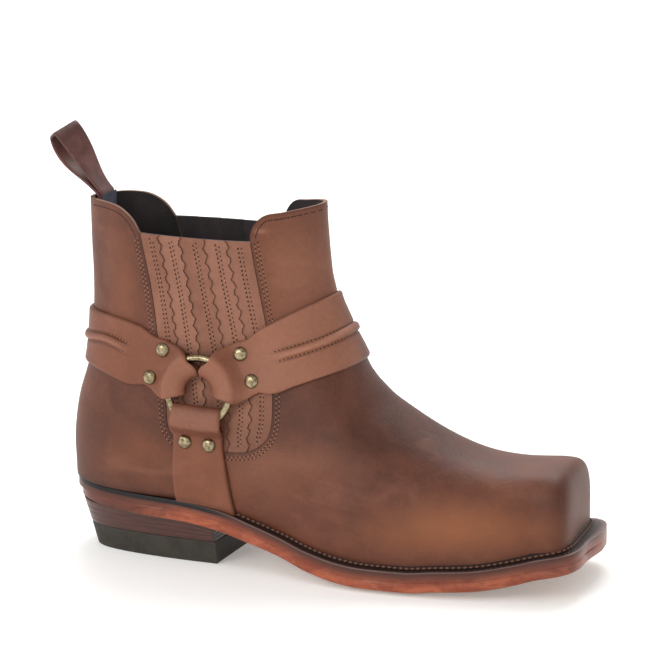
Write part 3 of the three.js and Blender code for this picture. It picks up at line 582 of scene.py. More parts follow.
def dress(piece: Piece, slot: str, nodes: Sequence[str], *finishes: Finish, angle: float = 50) -> None:
    """Gives a piece smooth shading, its finishes, the nodes that it replaces and its body."""
    Bench.smooth(piece, angle)
    piece.data.materials.clear()
    for finish in finishes:
        piece.data.materials.append(finish)
    if nodes:
        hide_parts(*nodes)
    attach(piece, ROOT)
    LOG.info("%s: %d faces", piece.name, len(piece.data.polygons))


def srgb(red: float, green: float, blue: float) -> tuple[float, float, float, float]:
    """Linear colour of screen values from 0 to 255."""
    steps = [c / 255 for c in (red, green, blue)]
    linear = [c / 12.92 if c <= 0.04045 else ((c + 0.055) / 1.055) ** 2.4 for c in steps]
    return (linear[0], linear[1], linear[2], 1.0)


Colour = tuple[float, float, float, float]


def shade(colour: Colour, share: float) -> Colour:
    """A colour made darker or lighter."""
    return (*(min(1.0, c * share) for c in colour[:3]), 1.0)


@dataclass(frozen=True)
class Wire:
    """A number that varies over a surface, with arithmetic that adds Math nodes."""

    recipe: "Recipe"
    socket: Any

    def __add__(self, other: Any) -> "Wire":
        """Sum."""
        return self.recipe.math("ADD", self, other)

    def __sub__(self, other: Any) -> "Wire":
        """Difference."""
        return self.recipe.math("SUBTRACT", self, other)

    def __rsub__(self, other: Any) -> "Wire":
        """Difference from a number."""
        return self.recipe.math("SUBTRACT", other, self)

    def __mul__(self, other: Any) -> "Wire":
        """Product."""
        return self.recipe.math("MULTIPLY", self, other)

    __radd__ = __add__
    __rmul__ = __mul__

    def step(self, low: float, high: float) -> "Wire":
        """Smooth step from 0 at low to 1 at high, or down if high is lower."""
        first, last = (low, high) if low < high else (high, low)
        ends = (0.0, 1.0) if low < high else (1.0, 0.0)
        node = self.recipe.node(
            "MapRange",
            {"interpolation_type": "SMOOTHSTEP"},
            {"Value": self, "From Min": first, "From Max": last, "To Min": ends[0], "To Max": ends[1]},
        )
        return Wire(self.recipe, node.outputs["Result"])


class Recipe:
    """A node material under construction."""

    def __init__(self, name: str) -> None:
        """Starts an empty material."""
        self.material = bpy.data.materials.new(name)
        self.material.use_nodes = True
        self.tree = self.material.node_tree
        self.tree.nodes.clear()

    def node(
        self, kind: str, settings: dict[str, Any] | None = None, inputs: dict[Any, Any] | None = None,
    ) -> Any:
        """Adds a node.

        Args:
            kind: the node's type, without its prefix.
            settings: its properties, set first.
            inputs: values or links of its sockets, by name or number.

        Returns:
            The node.
        """
        node = self.tree.nodes.new(f"ShaderNode{kind}")
        for name, value in (settings or {}).items():
            setattr(node, name, value)
        for key, value in (inputs or {}).items():
            socket = node.inputs[key]
            if isinstance(value, Wire):
                self.tree.links.new(value.socket, socket)
            elif hasattr(value, "is_output"):
                self.tree.links.new(value, socket)
            else:
                socket.default_value = value
        return node

    def math(self, operation: str, first: Any, second: Any) -> Wire:
        """A Math node on two values."""
        node = self.node("Math", {"operation": operation}, {0: first, 1: second})
        return Wire(self, node.outputs[0])

    def spot(self) -> Any:
        """Object coordinates."""
        return self.node("TexCoord").outputs["Object"]

    def axes(self) -> tuple[Wire, Wire, Wire]:
        """Object coordinates as three numbers, in mm."""
        parts = self.node("SeparateXYZ", inputs={0: self.spot()})
        x, y, z = (Wire(self, parts.outputs[i]) * 1000.0 for i in range(3))
        return x, y, z

    def stretched(self, x: float, y: float, z: float) -> Any:
        """Object coordinates scaled along each axis."""
        node = self.node("VectorMath", {"operation": "MULTIPLY"}, {0: self.spot(), 1: (x, y, z)})
        return node.outputs[0]

    def noise(
        self, size: float, detail: float = 3, rough: float = 0.55, warp: float = 0, at: Any = None,
    ) -> Wire:
        """Noise with features of a size in mm."""
        node = self.node(
            "TexNoise",
            inputs={
                "Vector": at or self.spot(), "Scale": 1000 / size, "Detail": detail, "Roughness": rough,
                "Distortion": warp,
            },
        )
        return Wire(self, node.outputs["Fac"])

    def cells(self, size: float) -> Wire:
        """Cells of a size in mm, as the distance to their edge."""
        inputs = {"Vector": self.spot(), "Scale": 1000 / size}
        node = self.node("TexVoronoi", {"feature": "DISTANCE_TO_EDGE"}, inputs)
        return Wire(self, node.outputs["Distance"])

    def mark(self, name: str) -> Wire:
        """A number that the mesh carries."""
        node = self.node("Attribute", {"attribute_name": name, "attribute_type": "GEOMETRY"})
        return Wire(self, node.outputs["Fac"])

    def mix(self, share: Any, first: Any, second: Any) -> Any:
        """Blend of two colours."""
        node = self.node(
            "Mix", {"data_type": "RGBA", "clamp_factor": True}, {0: share, 6: first, 7: second},
        )
        return node.outputs[2]

    def bump(self, height: Any, depth: float, under: Any = None) -> Any:
        """Bump with a depth in mm, over another normal if there is one."""
        inputs = {"Height": height, "Distance": depth * MM, "Strength": 1.0}
        if under is not None:
            inputs["Normal"] = under
        return self.node("Bump", inputs=inputs).outputs["Normal"]

    def finish(self, colour: Any, rough: Any, normal: Any = None, **fixed: Any) -> Finish:
        """Closes the material with its shader.

        Args:
            colour: base colour, fixed or linked.
            rough: roughness, fixed or linked.
            normal: linked normal.
            fixed: other sockets, by name with underscores for spaces.

        Returns:
            The material.
        """
        inputs: dict[Any, Any] = {"Base Color": colour, "Roughness": rough}
        if normal is not None:
            inputs["Normal"] = normal
        inputs.update({name.replace("_", " "): value for name, value in fixed.items()})
        shader = self.node("BsdfPrincipled", inputs=inputs)
        self.node("OutputMaterial", inputs={"Surface": shader.outputs[0]})
        return self.material


@dataclass(frozen=True)
class PullUpLeather:
    """Oiled leather: dark where it lies at rest, lighter where it is pulled or rubbed, with painted light
    and painted shade from marks on the mesh.
    """

    name: str
    dark: Colour
    middle: Colour
    light: Colour
    caramel: Colour
    rough: float = 0.5
    grain: float = 1.3

    def make(self) -> Finish:
        """Builds the material."""
        r = Recipe(self.name)
        broad = r.noise(60, 2, 0.5, 0.4)
        cloud = r.noise(15, 4, 0.6, 0.4)
        fine = r.noise(2.4, 4, 0.65)
        drawn = r.noise(30, 3, 0.6, 1.2, r.stretched(0.35, 1, 1))
        shadow = shade(self.dark, 0.3)
        body = r.mix((broad * 0.45 + cloud * 0.35 + fine * 0.2).step(0.34, 0.66), self.dark, self.middle)
        body = r.mix(drawn.step(0.56, 0.76) * 0.25, body, self.light)
        warm = r.mark("warm")
        body = r.mix(warm * (cloud * 0.4 + 0.7), body, self.caramel)
        # Painted light and lighter tone, from the mesh's marks.
        body = r.mix(r.mark("pale") * (fine * 0.6 + 0.6), body, self.light)
        scuff = r.noise(4.5, 5, 0.7, 2.0, r.stretched(1, 1, 0.45))
        body = r.mix(scuff.step(0.66, 0.74) * 0.14, body, self.light)
        # Painted shade and darker stain, from the mesh's marks.
        body = r.mix(r.mark("burnt") * 0.85, body, shadow)
        pore = r.cells(self.grain)
        pebble = r.noise(self.grain * 1.6, 3, 0.6)
        speck = r.noise(0.7, 2, 0.5)
        body = r.mix((pore.step(0.06, 0.0) + speck.step(0.6, 0.75)) * 0.1, body, shadow)
        normal = r.bump(pore.step(0.0, 0.16) * 0.6 + pebble * 0.7 + speck * 0.2, 0.07)
        normal = r.bump(cloud, 0.35, normal)
        rough = fine * 0.14 + cloud * 0.12 + (self.rough - 0.13)
        return r.finish(body, rough, normal, Specular_IOR_Level=0.24)


@dataclass(frozen=True)
class PlainHide:
    """Plain leather, webbing or rubber with a fine grain."""

    name: str
    dark: Colour
    light: Colour
    rough: float = 0.7
    grain: float = 0.9
    depth: float = 0.05

    def make(self) -> Finish:
        """Builds the material."""
        r = Recipe(self.name)
        cloud = r.noise(11, 4, 0.6, 0.3)
        fine = r.noise(self.grain, 3, 0.6)
        body = r.mix((cloud * 0.7 + fine * 0.3).step(0.34, 0.66), self.dark, self.light)
        # Painted shade and stain, then painted light and lighter tone, from the mesh's marks.
        body = r.mix(r.mark("burnt") * 0.8, body, shade(self.dark, 0.3))
        body = r.mix(r.mark("pale") * 0.8, body, shade(self.light, 2.2))
        normal = r.bump(fine * 0.7 + cloud * 0.3, self.depth)
        return r.finish(body, fine * 0.2 + (self.rough - 0.1), normal, Specular_IOR_Level=0.3)


@dataclass(frozen=True)
class WaxedEdge:
    """Welt and outsole: burnished leather, dark by the stitches, orange-brown below, dark round the heel,
    with a painted highlight along the welt's top corner.
    """

    name: str = "waxed_sole_edge"

    def make(self) -> Finish:
        """Builds the material."""
        r = Recipe(self.name)
        x, _, _ = r.axes()
        run = r.noise(9, 4, 0.6, 0.8, r.stretched(0.5, 0.5, 1.6))
        fibre = r.noise(1.3, 3, 0.6, 0.3, r.stretched(0.5, 0.5, 2.4))
        level = r.mark("level")
        low = r.mix(run.step(0.36, 0.64), srgb(136, 66, 44), srgb(170, 92, 64))
        body = r.mix((level + run * 0.3 - 0.15).step(0.3, 1.0), low, srgb(64, 38, 31))
        body = r.mix(fibre.step(0.5, 0.72) * 0.3, body, srgb(74, 30, 22))
        body = r.mix(r.noise(19, 3, 0.6, 1.0).step(0.6, 0.72) * 0.5, body, srgb(62, 30, 26))
        body = r.mix(x.step(30, -20) * 0.75, body, srgb(58, 28, 22))
        body = r.mix(x.step(205, 240) * 0.45, body, srgb(70, 42, 38))
        body = r.mix(level.step(0.74, 0.8) * x.step(58, 34), body, srgb(15, 10, 9))
        # Painted highlight: a grey line along the welt's top outer corner.
        body = r.mix(r.mark("pale") * 0.5, body, srgb(140, 118, 110))
        # Near black on the welt's lip and on the channel by the upper.
        body = r.mix(r.mark("burnt") * 0.93, body, srgb(30, 15, 10))
        body = r.mix(r.mark("tread"), body, r.mix(run.step(0.3, 0.7), srgb(128, 92, 62), srgb(158, 120, 86)))
        normal = r.bump(fibre * 0.6 + run * 0.4, 0.07)
        rough = fibre * 0.16 + r.mark("tread") * 0.3 + r.mark("burnt") * 0.3 + 0.3
        return r.finish(body, rough, normal, Specular_IOR_Level=0.25, Coat_Weight=0.08, Coat_Roughness=0.2)


@dataclass(frozen=True)
class StackedHeel:
    """Stacked leather lifts under dark wax, black on the breast."""

    name: str = "stacked_heel"

    def make(self) -> Finish:
        """Builds the material."""
        r = Recipe(self.name)
        x, _, z = r.axes()
        lines = r.noise(1.6, 3, 0.6, 0.4, r.stretched(0.12, 0.12, 1.7))
        cloud = r.noise(13, 3, 0.6, 0.5)
        body = r.mix(lines.step(0.36, 0.66), srgb(60, 29, 22), srgb(76, 37, 28))
        body = r.mix(cloud.step(0.5, 0.7) * 0.5, body, srgb(66, 36, 32))
        body = r.mix(r.mark("burnt") * 0.8, body, srgb(32, 16, 14))
        body = r.mix(x.step(38.2, 39.6), body, srgb(20, 16, 15))
        normal = r.bump(lines * 0.7 + cloud * 0.3, 0.07)
        return r.finish(
            body, lines * 0.16 + 0.3, normal, Specular_IOR_Level=0.35, Coat_Weight=0.15, Coat_Roughness=0.2,
        )


@dataclass(frozen=True)
class AgedBrass:
    """Antique brass: dark in the hollows, worn bright on the crowns."""

    name: str = "antique_brass"

    def make(self) -> Finish:
        """Builds the material."""
        r = Recipe(self.name)
        patina = r.noise(2.2, 4, 0.65)
        scratch = r.noise(0.5, 3, 0.6, 0.5, r.stretched(1, 1, 0.25))
        body = r.mix(patina.step(0.36, 0.66), srgb(108, 96, 72), srgb(170, 156, 126))
        # Painted shade on each ring's side toward the leather; patina round each rivet's foot.
        body = r.mix(r.mark("burnt") * 0.8, body, srgb(58, 46, 30))
        normal = r.bump(scratch * 0.5 + patina * 0.5, 0.03)
        return r.finish(body, patina * 0.18 + scratch * 0.08 + 0.17, normal, Metallic=1.0)


@dataclass(frozen=True)
class Thread:
    """Waxed sewing thread with a fine twist."""

    name: str
    colour: Colour
    rough: float = 0.6

    def make(self) -> Finish:
        """Builds the material."""
        r = Recipe(self.name)
        twist = r.noise(0.35, 2, 0.5)
        body = r.mix(twist.step(0.35, 0.65), shade(self.colour, 0.6), self.colour)
        return r.finish(body, self.rough, r.bump(twist, 0.04))


@dataclass(frozen=True)
class StudioFloor:
    """Pale seamless paper."""

    name: str = "floor_paper"

    def make(self) -> Finish:
        """Builds the material."""
        r = Recipe(self.name)
        fine = r.noise(30, 2, 0.5)
        body = r.mix(fine, srgb(238, 237, 234), srgb(243, 242, 240))
        return r.finish(
            body, 0.55, None, Specular_IOR_Level=0.25,
            Emission_Color=(1.0, 1.0, 1.0, 1.0), Emission_Strength=0.22,
        )


class Finishes:
    """Every finish of the boot, made once."""

    def __init__(self) -> None:
        """Builds all the materials."""
        brown = PullUpLeather(
            "oiled_leather", srgb(78, 43, 31), srgb(104, 60, 44), srgb(146, 98, 78), srgb(136, 82, 52)
        )
        strap = PullUpLeather(
            "strap_leather", srgb(94, 53, 38), srgb(118, 70, 52), srgb(158, 108, 86), srgb(132, 80, 56), 0.47
        )
        strip = PullUpLeather(
            "gore_strip", srgb(112, 70, 53), srgb(136, 91, 72), srgb(164, 119, 98), srgb(130, 84, 60),
            0.58, 1.0,
        )
        self.leather = brown.make()
        self.strap = strap.make()
        self.strip = strip.make()
        self.lining = PlainHide("lining", srgb(36, 31, 32), srgb(52, 44, 45), 0.72, 0.8).make()
        self.raw = PlainHide("raw_edge", srgb(112, 84, 70), srgb(146, 114, 98), 0.85, 0.5).make()
        self.pull = PlainHide("loop_leather", srgb(74, 43, 38), srgb(104, 66, 60), 0.5, 0.7).make()
        self.tab = PlainHide("loop_tab", srgb(54, 55, 64), srgb(84, 86, 98), 0.8, 0.5).make()
        self.sole = WaxedEdge().make()
        self.heel = StackedHeel().make()
        self.rubber = PlainHide("heel_rubber", srgb(42, 38, 32), srgb(56, 51, 44), 0.62, 1.4).make()
        self.insole = PlainHide("insole_leather", srgb(34, 28, 27), srgb(50, 42, 40), 0.8).make()
        self.brass = AgedBrass().make()
        self.thread = Thread("tan_thread", srgb(176, 122, 92)).make()
        # Dark beads in this finish paint the shade in the needle holes; the collar row is sewn in it as
        # well.
        self.hole = Thread("needle_hole", srgb(48, 20, 12), 0.9).make()
        self.lock = Thread("welt_thread", srgb(110, 68, 48), 0.5).make()
        self.dark_lock = Thread("dark_welt_thread", srgb(50, 38, 34), 0.3).make()


def carry(piece: Piece, **marks: Array) -> None:
    """Gives the mesh numbers at each vertex for its finish to read."""
    for name, values in marks.items():
        mark = piece.data.attributes.new(name, "FLOAT", "POINT")
        mark.data.foreach_set("value", np.clip(values, 0, 1).astype(np.float32))


@dataclass
class Studio:
    """Camera, floor and soft light."""

    eye: Point = (847.4, -1921.8, 621.0)
    right: Point = (0.9317, 0.3633, 0.0)
    up: Point = (-0.0845, 0.2167, 0.9726)
    ahead: Point = (-0.3533, 0.9061, -0.2326)
    lens: float = 209.55
    look: Point = (0.09, 0.0, 0.09)
    sky: tuple[float, float, float, float] = (0.2, 0.62, 1.0, 0.74)

    def camera(self) -> None:
        """Sets the photograph's camera."""
        back = [-v for v in self.ahead]
        frame = Matrix([list(v) for v in zip(self.right, self.up, back)]).to_4x4()
        bpy.ops.object.camera_add()
        camera = Bench.added("camera")
        camera.matrix_world = Matrix.Translation([v * MM for v in self.eye]) @ frame
        camera.data.lens = self.lens
        camera.data.sensor_width = 36
        camera.data.clip_end = 60
        bpy.context.scene.camera = camera

    def floor(self) -> None:
        """Lays the floor."""
        Bench.clear()
        bpy.ops.mesh.primitive_plane_add(size=14, location=(0, 0, 0))
        floor = Bench.added("studio_floor")
        floor.data.materials.append(StudioFloor().make())

    def lamp(self, name: str, place: Point, size: float, power: float, tint: Colour) -> None:
        """Adds one soft box that faces the boot."""
        bpy.ops.object.light_add(type="AREA", location=place)
        lamp = bpy.context.object
        lamp.name = name
        lamp.data.shape = "SQUARE"
        lamp.data.size = size
        lamp.data.energy = power
        lamp.data.color = tint[:3]
        way = Vector(self.look) - Vector(place)
        lamp.rotation_euler = way.to_track_quat("-Z", "Y").to_euler()

    def light(self) -> None:
        """Sets the soft boxes and the white surroundings."""
        world = bpy.data.worlds.new("white_room")
        bpy.context.scene.world = world
        world.use_nodes = True
        nodes, links = world.node_tree.nodes, world.node_tree.links
        parts = nodes.new("ShaderNodeSeparateXYZ")
        links.new(nodes.new("ShaderNodeTexCoord").outputs["Generated"], parts.inputs[0])
        fall = nodes.new("ShaderNodeMapRange")
        fall.interpolation_type = "SMOOTHSTEP"
        for name, value in zip(("From Min", "From Max", "To Min", "To Max"), self.sky):
            fall.inputs[name].default_value = value
        links.new(parts.outputs[2], fall.inputs["Value"])
        links.new(fall.outputs["Result"], nodes["Background"].inputs["Strength"])
        nodes["Background"].inputs["Color"].default_value = (1.0, 1.0, 1.0, 1.0)
        self.lamp("soft_top", (-0.1, 0.9, 1.5), 1.0, 20, (1.0, 0.99, 0.98, 1))
        self.lamp("soft_front", (-0.75, -1.7, 0.95), 0.9, 13, (1.0, 0.98, 0.96, 1))
        self.lamp("soft_left", (-1.4, -0.2, 0.9), 0.8, 4, (1.0, 1.0, 1.0, 1))
        scene = bpy.context.scene
        scene.view_settings.view_transform = "Standard"
        scene.view_settings.look = "None"
        scene.view_settings.exposure = 0.0

    def build(self) -> None:
        """Builds the whole studio."""
        self.camera()
        self.floor()
        self.light()


def gore_line(steps: int = 12) -> tuple[Array, Array, Array]:
    """Side-view lines of the gore: its back edge, its foot and its front edge."""
    full = side_curve(GORE_BACK + GORE_FOOT + GORE_FRONT, steps)
    first = len(GORE_BACK) * steps
    second = first + (len(GORE_FOOT) - 1) * steps
    return full[: first + 1], full[first : second + 1], full[second:]


def distance_to(line: Array, x: Array, z: Array) -> Array:
    """Distance in side view from many places to a line."""
    best = np.full(np.shape(x), 1e9)
    for (ax, az), (bx, bz) in zip(line[:-1], line[1:]):
        dx, dz = bx - ax, bz - az
        t = np.clip(((x - ax) * dx + (z - az) * dz) / max(dx * dx + dz * dz, 1e-9), 0, 1)
        best = np.minimum(best, np.hypot(x - ax - t * dx, z - az - t * dz))
    return best


@dataclass(frozen=True)
class Crease:
    """A fold or ridge in the leather, along a side-view line on both sides."""

    line: Line
    width: float
    depth: float

    def lift(self, places: Array) -> Array:
        """Height of the fold at places, in mm."""
        line = np.array(self.line)
        away = distance_to(line, places[..., 0], places[..., 2])
        ends = [np.hypot(places[..., 0] - line[k, 0], places[..., 2] - line[k, 1]) for k in (0, -1)]
        fade = ramp(ends[0], 0, 3 * self.width) * ramp(ends[1], 0, 3 * self.width)
        return self.depth * np.exp(-((away / self.width) ** 2)) * (0.25 + 0.75 * fade)


@dataclass(frozen=True)
class Patch:
    """A soft patch of colour, placed in the side view."""

    x: float
    z: float
    wide: float
    high: float
    amount: float

    def amount_at(self, places: Array) -> Array:
        """Strength of the patch at places."""
        away = ((places[:, 0] - self.x) / self.wide) ** 2 + ((places[:, 2] - self.z) / self.high) ** 2
        return self.amount * np.exp(-away)


CREASES = (
    Crease(((118, 112), (108, 92), (104, 74)), 5.5, -0.7),
    Crease(((132, 104), (124, 86), (122, 70)), 6.0, -0.45),
    Crease(((100, 118), (92, 102), (86, 90)), 4.5, 0.35),
    Crease(((-44, 88), (-30, 82), (-14, 84), (0, 90)), 4.0, -0.45),
    Crease(((-46, 78), (-32, 73), (-18, 76)), 4.5, 0.3),
    Crease(((5, 66), (3, 56), (4, 46)), 2.6, -0.5),
    Crease(((9, 66), (8, 54), (10, 44)), 2.2, 0.35),
    Crease(((78, 84), (90, 78), (104, 80)), 6.0, -0.35),
    Crease(((-40, 160), (-30, 150), (-22, 138)), 4.0, -0.3),
    Crease(((98, 168), (90, 156), (84, 146)), 4.0, -0.3),
)
WARM = (
    Patch(200, 38, 40, 12, 0.6), Patch(160, 32, 36, 10, 0.5), Patch(176, 44, 26, 10, 0.35),
    Patch(86, 60, 30, 16, 0.25), Patch(-6, 60, 22, 18, 0.3), Patch(38, 48, 18, 14, 0.45),
    Patch(74, 165, 18, 34, 0.4), Patch(-16, 150, 10, 26, 0.4),
)
# Painted light, mostly on the front of the shaft and on the toe's top, with a small real scuff at the front
# corner of the collar.
PAINTED_LIGHT_AND_SCUFFS = (
    Patch(80, 165, 16, 30, 0.42), Patch(100, 172, 13, 32, 0.4), Patch(64.5, 187.5, 3, 1.2, 0.9),
    Patch(-26, 170, 7, 16, 0.16), Patch(92, 66, 26, 7, 0.22), Patch(216, 58, 14, 5, 0.25),
    Patch(28, 52, 16, 8, 0.16), Patch(66, 60, 18, 16, 0.3),
)
# Painted shade: on the vamp's side, under the front strap, at the toe's front turn, low on the heel's back
# and by the welt.
PAINTED_SHADE_PATCHES = (
    Patch(140, 78, 34, 16, 0.36), Patch(118, 96, 20, 16, 0.3), Patch(237, 52, 7, 26, 0.3),
    Patch(-46, 60, 9, 20, 0.22), Patch(120, 40, 30, 10, 0.12), Patch(80, 100, 12, 10, 0.2),
)


@dataclass
class Upper:
    """Vamp and quarters: one hollow wall of leather with its lining, seams and collar."""

    last: Last
    finishes: Finishes
    outer: Skin = field(init=False)
    inner: Skin = field(init=False)
    seam_rows: tuple[float, ...] = (2.1, 3.9)
    collar_row: float = 3.2
    stitch: float = 2.5

    def __post_init__(self) -> None:
        """Lays the outer face with its creases, and the inner face."""
        self.outer = Skin(self.last, 0.0, rows=9, around=176, cap=20)
        self.outer.raise_by(sum(c.lift(self.outer.points) for c in CREASES))
        self.inner = Skin(self.last, -SIZES.wall, rows=5, around=112, cap=10)

    def topline(self) -> Array:
        """Side-view outline of everything over the collar and the gores' dips."""
        top = SIZES.collar - SIZES.gore_drop
        back, front = side_curve(TOPLINE_BACK, 10), side_curve(TOPLINE_FRONT, 10)
        dip = np.array([(SIZES.along(0.185), top), (SIZES.along(0.38), top)])
        over = np.array([(SIZES.along(0.65), 300), (SIZES.along(-0.15), 300)])
        return joined([back, dip, front, over])

    def opening(self) -> Array:
        """Side-view outline of the gore's opening."""
        back, foot, front = gore_line()
        high = 1.2 * SIZES.collar
        ends = np.array([(SIZES.along(GORE_BACK[0][0] - 0.012), high)])
        last = np.array([(SIZES.along(GORE_FRONT[2][0] - 0.018), high)])
        return joined([ends, back, foot[1:-1], front, last])

    def under(self) -> Array:
        """Side-view outline of everything under the welt's top face."""
        x = np.linspace(SIZES.along(-0.12), SIZES.along(1.12), 140)
        top = self.last.feather(x) + SIZES.fit
        low = np.array([(x[-1], -80), (x[0], -80)])
        return joined([np.stack([x, top], -1), low])

    def build(self) -> Piece:
        """Builds the wall and dresses it."""
        wall = Bench.grid("upper_leather", self.outer.points)
        hollow = Bench.grid("hollow", self.inner.points)
        cutters = [
            Bench.prism("over", self.topline(), -120, 120),
            Bench.prism("gores", self.opening(), -120, 120),
            Bench.prism("under", self.under(), -120, 120),
        ]
        Bench.cut(wall, hollow, *cutters)
        Bench.edit(wall, lambda: bpy.ops.mesh.remove_doubles(threshold=2e-5))
        self.paint(wall)
        dress(
            wall, "upper_leather", ["upper"],
            self.finishes.leather, self.finishes.lining, self.finishes.raw, angle=38,
        )
        self.assign(wall)
        return wall

    def assign(self, wall: Piece) -> None:
        """Gives the inside its lining and the cut edges their raw leather."""
        for face in wall.data.polygons:
            middle = Vector(face.center) / MM
            _, _, _, out = self.outer.tree.find_nearest(middle)
            _, _, _, inside = self.inner.tree.find_nearest(middle)
            kind = 0 if out < 0.15 or middle.x > 233 else (1 if inside < 0.25 else 2)
            if kind == 2 and middle.z < self.last.feather(middle.x) + 1.2:
                kind = 1
            face.material_index = kind

    def paint(self, wall: Piece) -> None:
        """Places the warm patches, the painted light with its scuff and the painted shade patches, then
        paints shade along the welt and the gore edges and darkens the collar's edge and the back seam.
        """
        places = Bench.places(wall)
        warm = sum(p.amount_at(places) for p in WARM)
        pale = sum(p.amount_at(places) for p in PAINTED_LIGHT_AND_SCUFFS)
        burnt = sum(p.amount_at(places) for p in PAINTED_SHADE_PATCHES)
        # Painted shade low on the upper, where it meets the welt.
        over = places[:, 2] - self.last.feather(places[:, 0])
        burnt = burnt + 0.5 * ramp(over, 4.5, 0.5)
        # Painted shade along the quarters' edges, where they step down onto the gores.
        back, foot, front = gore_line()
        edge = joined([back, foot[1:-1], front])
        near = distance_to(edge, places[:, 0], places[:, 2])
        burnt = burnt + 0.45 * ramp(near, 1.3, 0.2) + 0.12 * ramp(near, 6, 2)
        # Darker along the collar's top edge.
        rim = distance_to(side_curve(TOPLINE_BACK, 6), places[:, 0], places[:, 2])
        rim = np.minimum(rim, distance_to(side_curve(TOPLINE_FRONT, 6), places[:, 0], places[:, 2]))
        burnt = burnt + 0.3 * ramp(rim, 2.2, 0.6)
        # Darker in a narrow line down the back seam.
        seam = np.abs(places[:, 1]) + 50 * (places[:, 0] > -20)
        burnt = burnt + 0.5 * ramp(seam, 1.2, 0.3)
        carry(wall, warm=warm, pale=pale, burnt=burnt)

    def collar_stitches(self) -> Spots:
        """Places of the row along the collar, on both sides."""
        back = offset_line(side_curve(TOPLINE_BACK, 10), -self.collar_row)
        front = offset_line(side_curve(TOPLINE_FRONT, 10), -self.collar_row)
        return sewn(self.outer, [(back[back[:, 0] > -42], 2.9, 1.0), (front, 2.9, 1.5)])

    def stitches(self) -> Spots:
        """Places of the two rows round the gores, on both sides."""
        back, foot, front = gore_line()
        edge = joined([back, foot[1:-1], front])
        edge = edge[(edge[:, 1] < SIZES.collar - SIZES.gore_drop + 3)]
        rows = []
        for k, away in enumerate(self.seam_rows):
            rows.append((offset_line(edge, -away), self.stitch, 0.5 * self.stitch * k + 1.0))
        return sewn(self.outer, rows)


def sewn(skin: Skin, rows: Sequence[tuple[Array, float, float]], up: float = 0.05) -> Spots:
    """Places of stitches along side-view rows on both sides.

    Args:
        skin: the face that they lie on.
        rows: line, stitch length and start of each row.
        up: height over the face.

    Returns:
        Place, direction and normal of each stitch.
    """
    spots = []
    for line, spacing, start in rows:
        places, ways = walk(line, spacing, start)
        for side in Side:
            for (x, z), (dx, dz) in zip(places, ways):
                hits = [
                    skin.cast((x + s * dx * 0.4, side.value * 90, z + s * dz * 0.4), (0, -side.value, 0))
                    for s in (-1, 0, 1)
                ]
                if any(h is None for h in hits):
                    continue
                way = unit(hits[2][0] - hits[0][0])
                spots.append((hits[1][0] + hits[1][1] * up, way, hits[1][1]))
    return spots


@dataclass
class Seams:
    """Every row of sewing: light stitches, and dark beads between them that paint the shade in the needle
    holes.
    """

    finishes: Finishes

    def bead(self, long: float, wide: float, high: float) -> Piece:
        """A small rounded stitch, long on X."""
        Bench.clear()
        bpy.ops.mesh.primitive_uv_sphere_add(
            segments=6, ring_count=4, radius=0.5 * MM, scale=(long, wide, high),
        )
        return Bench.settle(Bench.added("stitch_seed"))

    def sew(
        self, name: str, spots: Spots, slot: str, thread: Finish,
        length: float = 1.25, spacing: float = 2.5, thick: float = 0.5,
    ) -> None:
        """Lays one stitch at each spot, and a dark bead between it and the next that paints the shade in the
        needle hole.
        """
        stitches = Bench.scatter(name, self.bead(length, thick, thick * 0.7), spots)
        dress(stitches, slot, [], thread, angle=60)
        pits = [(p + w * spacing / 2 - n * 0.12, w, n) for p, w, n in spots]
        holes = Bench.scatter(f"{name}_holes", self.bead(1.3, 1.05, 0.36), pits)
        dress(holes, slot, [], self.finishes.hole, angle=60)


